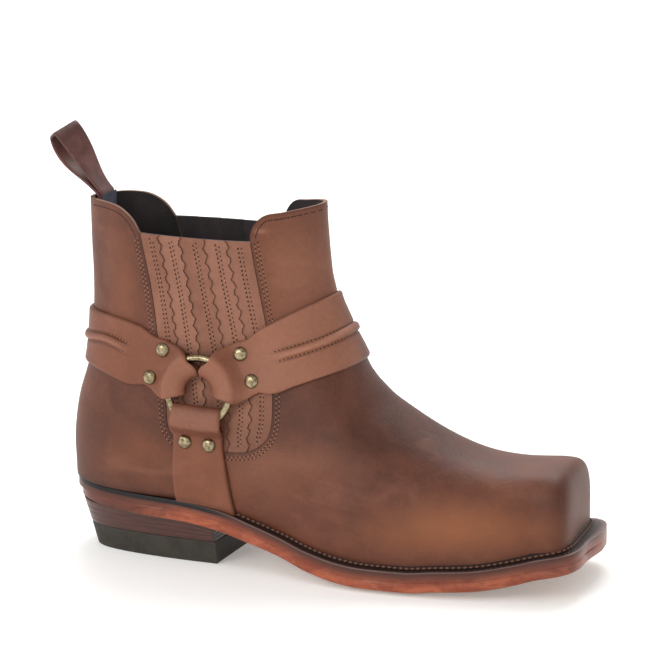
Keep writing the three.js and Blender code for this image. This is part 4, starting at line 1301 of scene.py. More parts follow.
@dataclass
class Gore:
    """Elastic panel on one side, covered by pinked leather strips that overlap like shingles."""

    finishes: Finishes
    side: Side
    skin: Skin
    strips: int = 5
    borders: tuple[float, ...] = (0.0, 0.172, 0.369, 0.592, 0.796, 1.0)
    rows: tuple[float, ...] = (0.098, 0.285, 0.508, 0.712, 0.905)
    wave: float = 7.3
    swing: float = 0.75
    step: float = 0.75
    tall: int = 300
    gap: float = 0.3

    def spot(self, share: Array, rise: Array) -> Pair:
        """Side-view place of a share across and a share up."""
        back, foot, front = gore_line()
        top = SIZES.collar - SIZES.gore_drop
        low_x = (foot[0, 0] + self.gap) * (1 - share) + (foot[-1, 0] - self.gap) * share
        low_z = height_on(foot, low_x) + self.gap
        z = low_z + (top - low_z) * rise
        back_x = height_on(back[:, ::-1], np.maximum(z, back[-1, 1])) + self.gap
        front_x = height_on(front[:, ::-1], np.maximum(z, front[0, 1])) - self.gap
        return back_x * (1 - share) + front_x * share, z

    def columns(self) -> tuple[Array, Array, Array, Array]:
        """Columns of the face: share across, height, how far it follows the pinked edge, and the painted
        shadow at each step between strips.
        """
        share, high, follow, dark = [], [], [], []
        for k in range(self.strips):
            a, b = self.borders[k], self.borders[k + 1]
            first, last = k == 0, k == self.strips - 1
            for t in (0.0, 0.03, 0.12, 0.25, 0.38, 0.5, 0.62, 0.75, 0.86, 0.94, 0.985):
                share.append(a + (b - a) * t)
                lift = self.step * (0.0 if first else (t**1.3 - 1) * 0.8)
                high.append(lift)
                follow.append(0 if (first and t < 0.5) or (last and t > 0.5) else (1 - t if t < 0.5 else t))
                # Painted shadow at each step where a strip's pinked edge lies over the next: full at the
                # next strip's first column, 0.6 at the edge column.
                dark.append(1.0 if t == 0.0 and not first else (0.35 if t == 0.03 and not first else 0.0))
            if not last:
                share.append(b - 0.0012)
                high.append(-0.12)
                follow.append(1.0)
                dark.append(0.6)
        share.append(1.0)
        high.append(0.0)
        follow.append(0.0)
        dark.append(0.0)
        return np.array(share), np.array(high), np.array(follow), np.array(dark)

    def build(self) -> None:
        """Builds the panel and its finish."""
        share, high, follow, dark = self.columns()
        rise = np.linspace(0, 1, self.tall)
        face = np.zeros((self.tall, len(share), 3))
        ways = np.zeros_like(face)
        for i, v in enumerate(rise):
            _, z_mid = self.spot(np.array([0.5]), np.array([v]))
            phase = z_mid[0] / self.wave * 2 * math.pi
            wobble = [
                self.swing * (math.sin(phase + 1.3 * k) + 0.25 * math.sin(2.7 * phase + k))
                for k in range(6)
            ]
            strip = np.clip(np.searchsorted(self.borders, share + 1e-9) - 1, 0, self.strips - 1)
            middle = [(self.borders[k] + self.borders[k + 1]) / 2 for k in range(self.strips)]
            nearest = np.array([k + (1 if s > middle[k] else 0) for k, s in zip(strip, share)])
            shift = np.array([wobble[k] for k in nearest]) * follow / 58.0
            x, z = self.spot(np.clip(share + shift, 0, 1), np.full(len(share), v))
            for j in range(len(share)):
                point, normal = self.skin.face(float(x[j]), float(z[j]), self.side)
                face[i, j] = point
                ways[i, j] = normal
        top = face + ways * (high - 0.2)[None, :, None]
        under = face + ways * (-0.2 - SIZES.gore_thickness)
        loop = joined([top, under[:, ::-1]], axis=1)
        tones = np.array([0.2, 0.75, 0.1, 0.6, 0.35]) * 0.45
        tone = tones[np.clip(np.searchsorted(self.borders, share + 1e-9) - 1, 0, self.strips - 1)]
        # Darker towards the bottom of the gore.
        low = 0.25 * ramp(loop[..., 2], 96, 74)
        marks = {
            "burnt": joined([dark, np.zeros(len(dark))])[None, :] + low,
            "pale": joined([tone, tone])[None, :],
        }
        panel = Bench.grid(f"gore_{self.side.word}_strips", loop, marks=marks)
        dress(
            panel, "gore_elastic", [f"gore_{self.side.word}"], self.finishes.strip, self.finishes.lining,
            self.finishes.raw, angle=32,
        )
        for face_of in panel.data.polygons:
            middle = np.array(face_of.center) / MM
            _, _, _, away = self.skin.tree.find_nearest(Vector(middle))
            cap = middle[2] > SIZES.collar - SIZES.gore_drop - 0.01
            face_of.material_index = 1 if away > 1.6 and not cap else 0

    def stitches(self) -> Spots:
        """Places of the double rows on the strips."""
        spots = []
        for k, row in enumerate(self.rows):
            for twin in (0, 1):
                rises = np.linspace(0.015, 0.99, 400)
                x, z = self.spot(np.full(400, row + (twin - 0.5) * 0.03), rises)
                places, _ = walk(np.stack([x, z], -1), 2.45, 0.6 + 1.22 * twin)
                a, b = self.borders[k], self.borders[k + 1]
                t = (row - a) / (b - a)
                lift = -0.2 + self.step * (0.0 if k == 0 else (t**1.3 - 1) * 0.8)
                for (px, pz), (qx, qz) in zip(places[:-1], places[1:]):
                    point, normal = self.skin.face(px, pz, self.side)
                    ahead, _ = self.skin.face(qx, qz, self.side)
                    spots.append((point + normal * (lift + 0.1), unit(ahead - point), normal))
        return spots


@dataclass(frozen=True)
class RingFrame:
    """Plane of the ring on one side: middle, forward, up and outward directions."""

    middle: Array
    forward: Array
    up: Array
    out: Array

    @staticmethod
    def on(skin: Skin, side: Side, reach: float = 12) -> "RingFrame":
        """Frame of the ring over the leather on one side."""
        s = SIZES
        x, z = s.along(s.ring_at), s.ring_up * s.collar
        point, _ = skin.face(x, z, side)
        fore, aft = skin.face(x + reach, z, side)[0], skin.face(x - reach, z, side)[0]
        over, below = skin.face(x, z + reach, side)[0], skin.face(x, z - reach, side)[0]
        forward = unit(fore - aft)
        up = over - below
        up = unit(up - forward * float(up @ forward))
        out = np.cross(forward, up)
        if out[1] * side.value < 0:
            out = -out
        lift = 2 * s.fit + s.ring_wire + s.sleeve + s.ring_ease
        return RingFrame(point + out * lift, forward, up, out)

    def ray(self, degrees: float) -> Array:
        """Direction in the ring's plane."""
        angle = math.radians(degrees)
        return self.forward * math.cos(angle) + self.up * math.sin(angle)

    def place(self, degrees: float, radius: float, height: float = 0.0) -> Array:
        """Point at an angle and radius in the plane and a height over it."""
        return self.middle + self.ray(degrees) * radius + self.out * height


@dataclass(frozen=True)
class StrapEnd:
    """How a strap meets the ring: middle angle, arc and reach of its roll, width and rivets."""

    middle: float
    arc: float
    width: float
    rivets: tuple[float, float]
    lean: float = 0.0
    straight: float = 0.0
    reach: float = 10.2


ROLL_REACH = 30.4
FRONT_END = StrapEnd(28.7, 84, 30, (44, 13.4), 19)
BACK_END = StrapEnd(155, 84, 29, (138, 172), -19)
FOOT_END = StrapEnd(268.4, 94, 29.5, (254.6, 282), 0, 0.92, 10.4)


@dataclass
class Roll:
    """The end of a strap from its rivets over the ring's wire and back under it."""

    frame: RingFrame
    skin: Skin
    side: Side
    end: StrapEnd
    wrinkles: tuple[Point, ...] = ((-0.5, 0.13, 0.3), (-0.1, 0.1, -0.25), (0.4, 0.14, 0.3))

    def half(self, radius: float) -> float:
        """Half width of the strap at a radius."""
        s = SIZES
        near = math.radians(self.end.arc / 2) * s.ring_radius
        return near + (self.end.width / 2 - near) * ramp(radius, s.ring_radius, 27)

    def plane(self, share: Array, radius: float, height: float) -> Array:
        """Places across the strap at a radius and height over the ring's plane."""
        s = SIZES
        across = share * self.half(radius)
        straight = max(ramp(radius, s.ring_radius + 1, 27), self.end.straight)
        angle = self.end.middle
        towards = np.clip(share * np.sign(self.end.lean), 0, 1) if self.end.lean else np.zeros(len(share))
        skew = self.end.lean * towards**1.5 * ramp(-radius, -s.ring_radius, -11)
        flat = (
            self.frame.middle + self.frame.ray(angle) * radius + self.frame.ray(angle + 90) * across[:, None]
            + self.frame.out * height
        )
        turns = angle + np.degrees(across / s.ring_radius) + skew
        round_ = np.array([self.frame.place(t, radius, height) for t in turns])
        return round_ * (1 - straight) + flat * straight

    def lying(self, share: Array, radius: float) -> Pair:
        """Points and normals of the leather under the strap."""
        spots = self.plane(share, radius, 0)
        hits = [self.skin.face(float(p[0]), float(p[2]), self.side) for p in spots]
        return np.array([h[0] for h in hits]), np.array([h[1] for h in hits])

    def stations(self) -> list[tuple[float, float, float, float, float]]:
        """Radius and height of the outer face, those of the inner face, and how far the strap lies down."""
        s = SIZES
        wire, outer, inner = s.ring_radius, s.ring_wire + s.fit + s.sleeve, s.ring_wire + s.fit
        rows = []
        for degrees in (318, 304, 290, 275, 258, 240, 222, 204, 186, 168, 150, 132, 114, 98, 84, 70, 58, 48):
            c, n = math.cos(math.radians(degrees)), math.sin(math.radians(degrees))
            fold = self.end.reach / outer if c < 0 else 1.0
            thin = (self.end.reach - s.sleeve) / inner if c < 0 else 1.0
            tall = 0.7 if n > 0 and c < 0 else 1.0
            high = math.copysign(abs(n) ** tall, n)
            rows.append((wire + outer * c * fold, outer * high, wire + inner * c * thin, inner * high, 0.0))
        last_r, last_h = rows[-1][0], rows[-1][1]
        for k in range(1, 9):
            t = k / 8
            radius = last_r + (27.2 - last_r) * t
            height = last_h - 4.2 * t + 1.2 * t * t
            rows.append((radius, height, radius - 0.6 * (1 - t), height - s.strap, ramp(t, 0.0, 1.0)))
        rows.extend((radius, 0, radius, -s.strap, 1.0) for radius in (28.8, ROLL_REACH))
        return rows

    def sections(self, share: Array, rounding: Array) -> list[Pair]:
        """Outer and inner rows of the roll, from under the wire to the rivets.

        Args:
            share: places across, from -1 to 1.
            rounding: how far the outer face drops towards the edges.

        Returns:
            Outer and inner points of each station.
        """
        s = SIZES
        made = []
        for radius, height, inner_radius, inner_height, ease in self.stations():
            fold = np.zeros(len(share))
            for at, wide, deep in self.wrinkles:
                fold += deep * np.exp(-(((share - at) / wide) ** 2))
            calm = ramp(abs(radius - s.ring_radius - 2.5), 9, 2) * (1.0 if height > 0 else 0.35)
            base, normal = self.lying(share, max(radius, s.ring_radius - 2))
            raised = (fold * calm * 0.75 - rounding * (1 - ease))[:, None]
            outer = self.plane(share, radius, height) + self.frame.out * raised
            inner = self.plane(share, inner_radius, inner_height)
            down = base + normal * (s.fit + s.strap - rounding)[:, None]
            down_in = base + normal * s.fit
            outer = outer * (1 - ease) + down * ease
            inner = inner * (1 - ease) + down_in * ease
            if ease > 0 or height < 0:
                clear = np.einsum("ij,ij->i", outer - base, normal)
                outer = outer + normal * np.maximum(s.fit + 0.9 - clear, 0)[:, None]
                clear = np.einsum("ij,ij->i", inner - base, normal)
                inner = inner + normal * np.maximum(s.fit + 0.05 - clear, 0)[:, None]
            made.append((outer, inner))
        return made


EDGE = np.array([0.0, 0.12, 0.4, 0.85, 1.5, 2.4])


def across_strap(width: float, bead: float, plain: int = 12) -> Array:
    """Places across a strap in mm from its foot edge: close at the edges and at the bead."""
    ridge = np.array([-4.6, -3.7, -3.2, -2.8, -2.39, -2.3, -2.0, -1.4, -0.7])
    low = np.linspace(EDGE[-1], bead + ridge[0], plain + 2)[1:-1]
    high = np.linspace(bead - ridge[0], width - EDGE[-1], plain + 2)[1:-1]
    return joined([EDGE, low, bead + ridge, [bead], bead - ridge[::-1], high, width - EDGE[::-1]])


@dataclass
class Band:
    """A harness strap from ring to ring, over the instep or round the back of the ankle."""

    name: str
    node: str
    skin: Skin
    finishes: Finishes
    frames: dict[Side, RingFrame]
    end: StrapEnd
    top: Line
    foot: Line
    bead: Line
    forward: bool
    bead_from: float
    count: int = 130
    bead_height: float = 1.7
    rows: dict[int, list[Pair]] = field(default_factory=dict)

    def polar(self, places: Array) -> Pair:
        """Angle round the leg and height of places."""
        x = places[..., 0] - SIZES.along(SIZES.ring_at)
        turn = np.arctan2(places[..., 1], x if self.forward else -x)
        return turn, places[..., 2]

    def cast(self, turn: float, z: float) -> Pair:
        """Leather's point and normal at an angle round the leg and a height."""
        sign = 1 if self.forward else -1
        way = (sign * math.cos(turn), math.sin(turn), 0.0)
        start = np.array([SIZES.along(SIZES.ring_at), 0.0, z]) + np.array(way) * 200
        hit = self.skin.cast(start, [-w for w in way])
        if hit is None:
            raise ValueError(f"{self.name}: no leather at {turn:.2f}, {z:.1f}")
        return hit

    def edges(self) -> tuple[Array, Array, Array]:
        """Side-view curves of the top edge, the foot edge and the bead."""
        return side_curve(self.top, 10), side_curve(self.foot, 10), side_curve(self.bead, 10)

    def settle(self, turn: float, z: float, mix: float) -> tuple[float, float]:
        """Height and place along the foot on a line between the foot edge and the top edge."""
        top, foot, _ = self.edges()
        for _ in range(7):
            point, _ = self.cast(turn, z)
            low, high = height_on(foot, point[0]), height_on(top, point[0])
            z = low + (high - low) * mix
        return z, float(point[0])

    def build(self) -> Piece:
        """Builds the strap in one sweep from ring to ring."""
        s = SIZES
        top, foot, bead = self.edges()
        rolls = {side: Roll(self.frames[side], self.skin, side, self.end) for side in Side}
        tabs = {}
        for side in Side:
            share = np.array([-1.0, 1.0])
            low_first = self.frames[side].ray(self.end.middle + 90)[2] > 0
            ends, _ = rolls[side].lying(share if low_first else -share, ROLL_REACH)
            turns, highs = self.polar(ends)
            tabs[side] = (turns, highs, low_first)
        outers, inners, widths, beads = [], [], [], []
        shares = np.linspace(0, 1, self.count)
        first, last = tabs[Side.LATERAL][0], tabs[Side.MEDIAL][0]
        for k in shares:
            low_turn, high_turn = first + (last - first) * k
            side = Side.LATERAL if k < 0.5 else Side.MEDIAL
            turns, highs, _ = tabs[side]
            near = float(1 - ramp(min(k, 1 - k), 0.0, 0.16))
            z_low, x_low = self.settle(low_turn, highs[0], 0.0)
            z_high, x_high = self.settle(high_turn, highs[1], 1.0)
            z_low = z_low * (1 - near) + highs[0] * near
            z_high = z_high * (1 - near) + highs[1] * near
            p_low, _ = self.cast(low_turn, z_low)
            p_high, _ = self.cast(high_turn, z_high)
            width = norm(p_high - p_low) * 1.01
            x_mid = (x_low + x_high) / 2
            z_bead = height_on(bead, x_mid)
            z_lo, z_hi = height_on(foot, x_mid), height_on(top, x_mid)
            mid = width * np.clip((z_bead - z_lo) / max(z_hi - z_lo, 1), 0.3, 0.7)
            mid = mid * (1 - near) + width * 0.5 * near
            widths.append(width)
            beads.append(mid)
            at = across_strap(width, mid)
            outer, inner = [], []
            away = x_mid - self.bead_from
            fade = ramp(away if self.forward else -away, 0, 12)
            middle = len(at) // 2
            for column, d in enumerate(at):
                v = d / width
                turn = low_turn + (high_turn - low_turn) * v
                z = z_low + (z_high - z_low) * v
                point, normal = self.cast(turn, z)
                lift = s.fit + s.strap - self.rounding(np.array([d]), width)[0] + self.relief(d - mid, fade)
                outer.append(point + normal * lift)
                inner.append(point + normal * s.fit)
                if abs(column - middle) == 6 and fade > 0.2:
                    self.rows.setdefault(column, []).append((outer[-1], normal))
            outers.append(np.array(outer))
            inners.append(np.array(inner))
        rows_out: list[Array] = []
        rows_in: list[Array] = []
        for side, at in ((Side.LATERAL, 0), (Side.MEDIAL, -1)):
            places = across_strap(widths[at], beads[at])
            share = places / widths[at] * 2 - 1
            share = share if tabs[side][2] else -share
            made = rolls[side].sections(share, self.rounding(places, widths[at]))
            step_out = outers[at] - made[-1][0]
            step_in = inners[at] - made[-1][1]
            for i, (outer, inner) in enumerate(made):
                ease = ramp(i, len(made) - 8, len(made) - 1)
                made[i] = (outer + step_out * ease, inner + step_in * ease)
            if side is Side.LATERAL:
                rows_out = [m[0] for m in made[:-1]] + outers
                rows_in = [m[1] for m in made[:-1]] + inners
            else:
                rows_out += [m[0] for m in reversed(made[:-1])]
                rows_in += [m[1] for m in reversed(made[:-1])]
        loops = np.stack([joined([o, i[::-1]]) for o, i in zip(rows_out, rows_in)])
        strap = Bench.grid(self.name, loops)
        self.paint(strap)
        dress(strap, "strap_leather", [self.node], self.finishes.strap)
        return strap

    def stitches(self) -> Spots:
        """Places of the two rows beside the bead."""
        spots = []
        for line in self.rows.values():
            places, ways = walk(np.array([p for p, _ in line]), 2.3, 1)
            tips = np.array([p for p, _ in line])
            for place, way in zip(places, ways):
                normal = line[int(np.argmin(norm(tips - place, axis=1)))][1]
                spots.append((place + normal * 0.1, way, normal))
        return spots

    @staticmethod
    def rounding(at: Array, width: float) -> Array:
        """How far the face drops near the edges."""
        away = np.minimum(at, width - at)
        return 0.85 * np.clip(1 - away / 1.5, 0, 1) ** 2

    def relief(self, away: float, fade: float) -> float:
        """Bead and its stitch grooves."""
        half = 2.4
        ridge = self.bead_height * math.sqrt(1 - (away / half) ** 2) if abs(away) < half else 0.0
        groove = -0.5 * math.exp(-(((abs(away) - 2.9) / 0.5) ** 2))
        return (ridge + groove) * fade

    def paint(self, strap: Piece) -> None:
        """Darkens the edges, paints shade under the wire and in the bead's stitch grooves, and paints
        highlights on the crowns of the bead and the roll and light towards the front on the lateral side.
        """
        places = Bench.places(strap)
        x, z = places[:, 0], places[:, 2]
        burnt = np.zeros(len(places))
        pale = np.zeros(len(places))
        # Painted shade where each roll passes under the ring's wire, and a painted highlight on the roll's
        # crown.
        for side in Side:
            frame = self.frames[side]
            local = places - frame.middle
            height = local @ frame.out
            flat = np.hypot(local @ frame.forward, local @ frame.up)
            here = (places[:, 1] * side.value > 0) * ramp(flat, 34, 26)
            burnt += here * ramp(height, 0.8, -3.0) * 0.6 * ramp(flat, 21, 17)
            pale += here * ramp(height, 2.0, 3.9) * 0.45
        # Darker along both edges.
        top, foot, bead = self.edges()
        rim = np.minimum(np.abs(z - height_on(foot, x)), np.abs(z - height_on(top, x)))
        burnt += 0.35 * ramp(rim, 1.3, 0.2)
        # Painted highlight on the bead's crown and painted shade in its stitch grooves.
        on_bead = np.abs(z - height_on(bead, x))
        fade = ramp((x - self.bead_from) * (1 if self.forward else -1), 0, 12)
        pale += 0.4 * ramp(on_bead, 1.8, 0.4) * fade
        burnt += 0.45 * ramp(np.abs(on_bead - 3.0), 0.9, 0.2) * fade
        # Painted light towards the front on the lateral side, strongest on the front strap.
        pale += (0.55 if self.forward else 0.12) * ramp(x, 42, 70) * ramp(places[:, 1], 8, -12)
        carry(strap, burnt=burnt, pale=pale, warm=0.4 * ramp(np.abs(places[:, 1]), 12, 34))


@dataclass
class FootStrap:
    """The strap from the ring down to the welt on one side."""

    side: Side
    skin: Skin
    finishes: Finishes
    frame: RingFrame
    end: StrapEnd = FOOT_END
    count: int = 36
    across: int = 22
    wide: float = 28

    def build(self) -> Piece:
        """Builds the strap in one sweep from the welt to under the wire."""
        s = SIZES
        back, front = side_curve(FOOT_BACK_EDGE, 20), side_curve(FOOT_FRONT_EDGE, 10)

        def edge_x(z: float, v: float) -> float:
            """Place along the foot at a height, between the back edge and the front edge."""
            return height_on(back[:, ::-1], z) * (1 - v) + height_on(front[:, ::-1], z) * v

        edge = EDGE / self.wide
        share = joined([edge, np.linspace(edge[-1], 1 - edge[-1], self.across)[1:-1], 1 - edge[::-1]])
        roll = Roll(self.frame, self.skin, self.side, self.end)
        turned = self.frame.ray(self.end.middle + 90)[0] < 0
        signed = (share * 2 - 1) * (-1 if turned else 1)
        rounding = Band.rounding(share * self.wide, self.wide)
        made = roll.sections(signed, rounding)
        tab, _ = roll.lying(signed, ROLL_REACH)
        rows = []
        for k in np.linspace(0, 1, self.count):
            spots = []
            for i, v in enumerate(share):
                low_z = LAST.feather(edge_x(40, v)) + s.fit + 0.2
                z = low_z + (tab[i, 2] - low_z) * k
                x = edge_x(z, v) + (tab[i, 0] - edge_x(tab[i, 2], v)) * ramp(k, 0.5, 1.0)
                spots.append(self.skin.face(x, z, self.side))
            point = np.array([p for p, _ in spots])
            normal = np.array([n for _, n in spots])
            wave = 0.3 * np.exp(-(((share - 0.25) / 0.1) ** 2)) * ramp(abs(k - 0.3), 0.35, 0.0)
            outer = point + normal * (s.fit + s.strap - rounding + wave)[:, None]
            rows.append((outer, point + normal * s.fit))
        rows = rows[:-1] + list(reversed(made))
        loops = np.stack([joined([o, i[::-1]]) for o, i in rows])
        strap = Bench.grid(f"strap_foot_{self.side.word}_leather", loops)
        places = Bench.places(strap)
        local = places - self.frame.middle
        height, flat = local @ self.frame.out, np.hypot(local @ self.frame.forward, local @ self.frame.up)
        x_front = height_on(front[:, ::-1], places[:, 2])
        # Painted shade where the roll passes under the ring's wire.
        burnt = 0.6 * ramp(height, 0.8, -3.0) * ramp(flat, 21, 17)
        # Painted shadow along the front edge, which stands proud of the leather.
        burnt = burnt + 0.65 * ramp(np.abs(places[:, 0] - x_front), 1.5, 0.4) * ramp(flat, 25, 30)
        # Painted shade low down, where the strap meets the welt.
        burnt = burnt + 0.3 * ramp(places[:, 2] - LAST.feather(places[:, 0]), 5, 1)
        carry(strap, burnt=burnt)
        # Painted highlight on the roll's crown over the wire.
        carry(strap, pale=0.45 * ramp(height, 2.0, 3.9) * ramp(flat, 30, 24))
        carry(strap, warm=0.5 * ramp(flat, 22, 34))
        dress(strap, "strap_leather", [f"strap_foot_{self.side.word}"], self.finishes.strap)
        return strap


@dataclass
class Hardware:
    """The two rings and the twelve domed rivets."""

    finishes: Finishes
    frames: dict[Side, RingFrame]
    skin: Skin
    drop: float = 12

    def rings(self) -> None:
        """Turns the two wire rings."""
        s = SIZES
        for side, frame in self.frames.items():
            Bench.clear()
            bpy.ops.mesh.primitive_torus_add(
                major_radius=s.ring_radius * MM, minor_radius=s.ring_wire * MM,
                major_segments=120, minor_segments=20,
            )
            ring = Bench.added(f"ring_{side.word}_wire")
            third = np.cross(frame.forward, frame.up)
            turn = Matrix([list(v) for v in zip(frame.forward, frame.up, third)]).to_4x4()
            ring.matrix_world = Matrix.Translation(Vector(frame.middle) * MM) @ turn
            Bench.settle(ring)
            places = Bench.places(ring) - frame.middle
            # Painted shade on the half of the wire that faces the leather.
            carry(ring, burnt=0.5 * ramp(places @ frame.out, 0.5, -1.8))
            dress(ring, "aged_brass", [f"ring_{side.word}"], self.finishes.brass, angle=60)

    def head(self) -> Piece:
        """One domed rivet head on its thin collar, at the origin."""
        s = SIZES
        radius, high = s.rivet_radius * MM, s.rivet_height * MM
        Bench.clear()
        bpy.ops.mesh.primitive_circle_add(vertices=40, radius=radius * 0.97, fill_type="NGON")
        head = Bench.added("rivet_head")
        steps: list[Callable[[], Any]] = []
        levels = [(0.08, 1.02), (0.14, 1.01), (0.1, 0.955)]
        dome = [
            (0.22, 0.94), (0.2, 0.915), (0.16, 0.88), (0.12, 0.84), (0.08, 0.78), (0.05, 0.68), (0.025, 0.5),
        ]
        scale = high / sum(rise for rise, _ in levels + dome)
        for rise, shrink in levels + dome:
            steps.append(
                lambda r=rise: bpy.ops.mesh.extrude_region_move(
                    TRANSFORM_OT_translate={"value": (0, 0, r * scale)}
                )
            )
            steps.append(lambda k=shrink: bpy.ops.transform.resize(value=(k, k, 1)))
        steps.append(lambda: bpy.ops.mesh.select_all(action="SELECT"))
        steps.append(Bench.outward)
        Bench.edit(head, *steps)
        return head

    def rivets(self, straps: dict[str, BVHTree]) -> None:
        """Sets each rivet on the strap under it."""
        model = self.head()
        shape = Bench.places(model)
        s = SIZES
        circle = s.ring_radius + s.rivet_reach
        for side, frame in self.frames.items():
            for strap, end in (("front", FRONT_END), ("back", BACK_END), ("foot", FOOT_END)):
                tree = straps[f"{strap}_{side.word}"]
                for number, angle in enumerate(end.rivets, 1):
                    spot = frame.place(angle, circle)
                    point, normal = self.skin.face(float(spot[0]), float(spot[2]), side)
                    across = unit(np.cross(normal, frame.up))
                    over = unit(np.cross(across, normal))
                    lifts = []
                    for k in range(13):
                        ring = 0.0 if k == 12 else s.rivet_radius * 0.9
                        swing = k * math.pi / 6
                        spoke = (across * math.cos(swing) + over * math.sin(swing)) * ring
                        start = point + spoke + normal * self.drop
                        hit, _, _, far = tree.ray_cast(Vector(start), Vector(-normal))
                        lifts.append(self.drop - far if hit is not None else 0.0)
                    seat = point + normal * (np.median(lifts) * 0.5 + max(lifts) * 0.5 - 0.05)
                    Bench.clear()
                    rivet = model.copy()
                    rivet.data = model.data.copy()
                    bpy.context.collection.objects.link(rivet)
                    rivet.name = f"rivet_{side.word}_{strap}_{number}_head"
                    places = seat + shape @ np.stack([across, over, normal])
                    rivet.data.vertices.foreach_set("co", (places * MM).ravel())
                    Bench.edit(rivet, Bench.outward)
                    carry(rivet, burnt=ramp(shape[:, 2], 0.75, 0.35))
                    dress(
                        rivet, "aged_brass", [f"rivet_{side.word}_{strap}_{number}"], self.finishes.brass,
                        angle=60,
                    )
        bpy.data.objects.remove(model, do_unlink=True)


@dataclass
class PullLoop:
    """Leather loop sewn inside the back of the collar, folded, twisted and leaning out over the heel."""

    finishes: Finishes
    inner: Skin
    steps: int = 150
    round_: int = 5
    tab_span: tuple[int, int] = (4, 21)

    def path(self) -> Pair:
        """Middle line of the loop, and the direction across it."""
        s = SIZES
        pitch = s.loop_thickness + s.fit

        def wall(share: float) -> float:
            """Where the lining lies at the back of the collar."""
            hit = self.inner.cast((0, s.loop_width / 2, s.collar - share * s.loop_tail), (-1, 0, 0))
            return float(hit[0][0]) if hit else -38.0

        base = np.array([max(wall(1), wall(0.3)) + s.fit + pitch, 0, s.collar - s.loop_tail])
        tilt = math.radians(s.loop_lean)
        lean = np.array([-math.sin(tilt), 0, math.cos(tilt)])
        across = np.array([7.8, 14.6, 9.3])
        across = unit(across - lean * float(across @ lean))
        length = s.loop_rise + s.loop_tail
        middle, sides = [], []
        for i in range(self.steps + 1):
            swing = -math.pi / 2 + 0.16 + (2 * math.pi - 0.32) * i / self.steps
            high = (1 + math.sin(swing)) / 2
            out = max(0.0, high * length - s.loop_tail - 1) / s.loop_rise
            settle = ramp(out, 0.05, 0.95)
            side = unit(np.array([0.0, 1.0, 0.0]) * (1 - settle) + across * settle)
            spine = base + lean * out * s.loop_rise
            spine[2] += min(high * length, s.loop_tail + 1)
            spine[0] -= s.loop_bend * 4 * out * (1 - out)
            depth = unit(np.cross(side, lean))
            swell = 4.28 * out**2.2 * max(0.0, 1 - out) ** 0.6 * (s.loop_gap / 2) + pitch / 2
            ply = math.tanh(math.cos(swing) * 14)
            middle.append(spine + depth * ply * swell)
            sides.append(side)
        return np.array(middle), np.array(sides)

    def build(self) -> None:
        """Builds the loop and the tab at its foot."""
        s = SIZES
        middle, sides = self.path()
        tangent = unit(np.gradient(middle, axis=0))
        thick = unit(np.cross(tangent, sides))
        half, deep = s.loop_width / 2, s.loop_thickness / 2
        turns = np.linspace(0, math.pi, self.round_ + 2)
        flat = np.linspace(-half + deep, half - deep, 9)
        loop = [(x, deep) for x in flat] + [
            (half - deep + deep * math.sin(t), deep * math.cos(t))
            for t in turns[1:-1]
        ]
        loop += [(x, -deep) for x in flat[::-1]]
        loop += [(-half + deep - deep * math.sin(t), -deep * math.cos(t)) for t in turns[1:-1]]
        across = np.array(loop)[None]
        points = middle[:, None] + sides[:, None] * across[..., :1] + thick[:, None] * across[..., 1:]
        band = Bench.grid("pull_loop_leather", points)
        places = Bench.places(band)
        base = middle[0]
        reach = norm(places - base, axis=1)
        # Darker towards the loop's tip and at its foot inside the collar.
        carry(band, burnt=0.5 * ramp(reach, 40, 52) + 0.25 * ramp(reach, 16, 6))
        # A slightly lighter band about 34 mm from the loop's foot.
        carry(band, pale=0.08 * ramp(np.abs(reach - 34), 12, 2))
        dress(band, "loop_webbing", ["pull_loop"], self.finishes.pull)
        self.tab(middle, sides, thick)

    def tab(self, middle: Array, sides: Array, thick: Array) -> None:
        """The small stitched tab over the loop's foot."""
        ways = -thick[self.tab_span[0] : self.tab_span[1]]
        spots = middle[self.tab_span[0] : self.tab_span[1]] + ways * (SIZES.loop_thickness / 2 + 0.25)
        across = np.linspace(-1, 1, 14)[None, :, None] * 8.7
        face = spots[:, None] + sides[self.tab_span[0] : self.tab_span[1], None] * across
        loop = joined([face + ways[:, None] * 0.5, face[:, ::-1]], axis=1)
        patch = Bench.grid("pull_loop_tab", loop)
        dress(patch, "loop_webbing", [], self.finishes.tab)


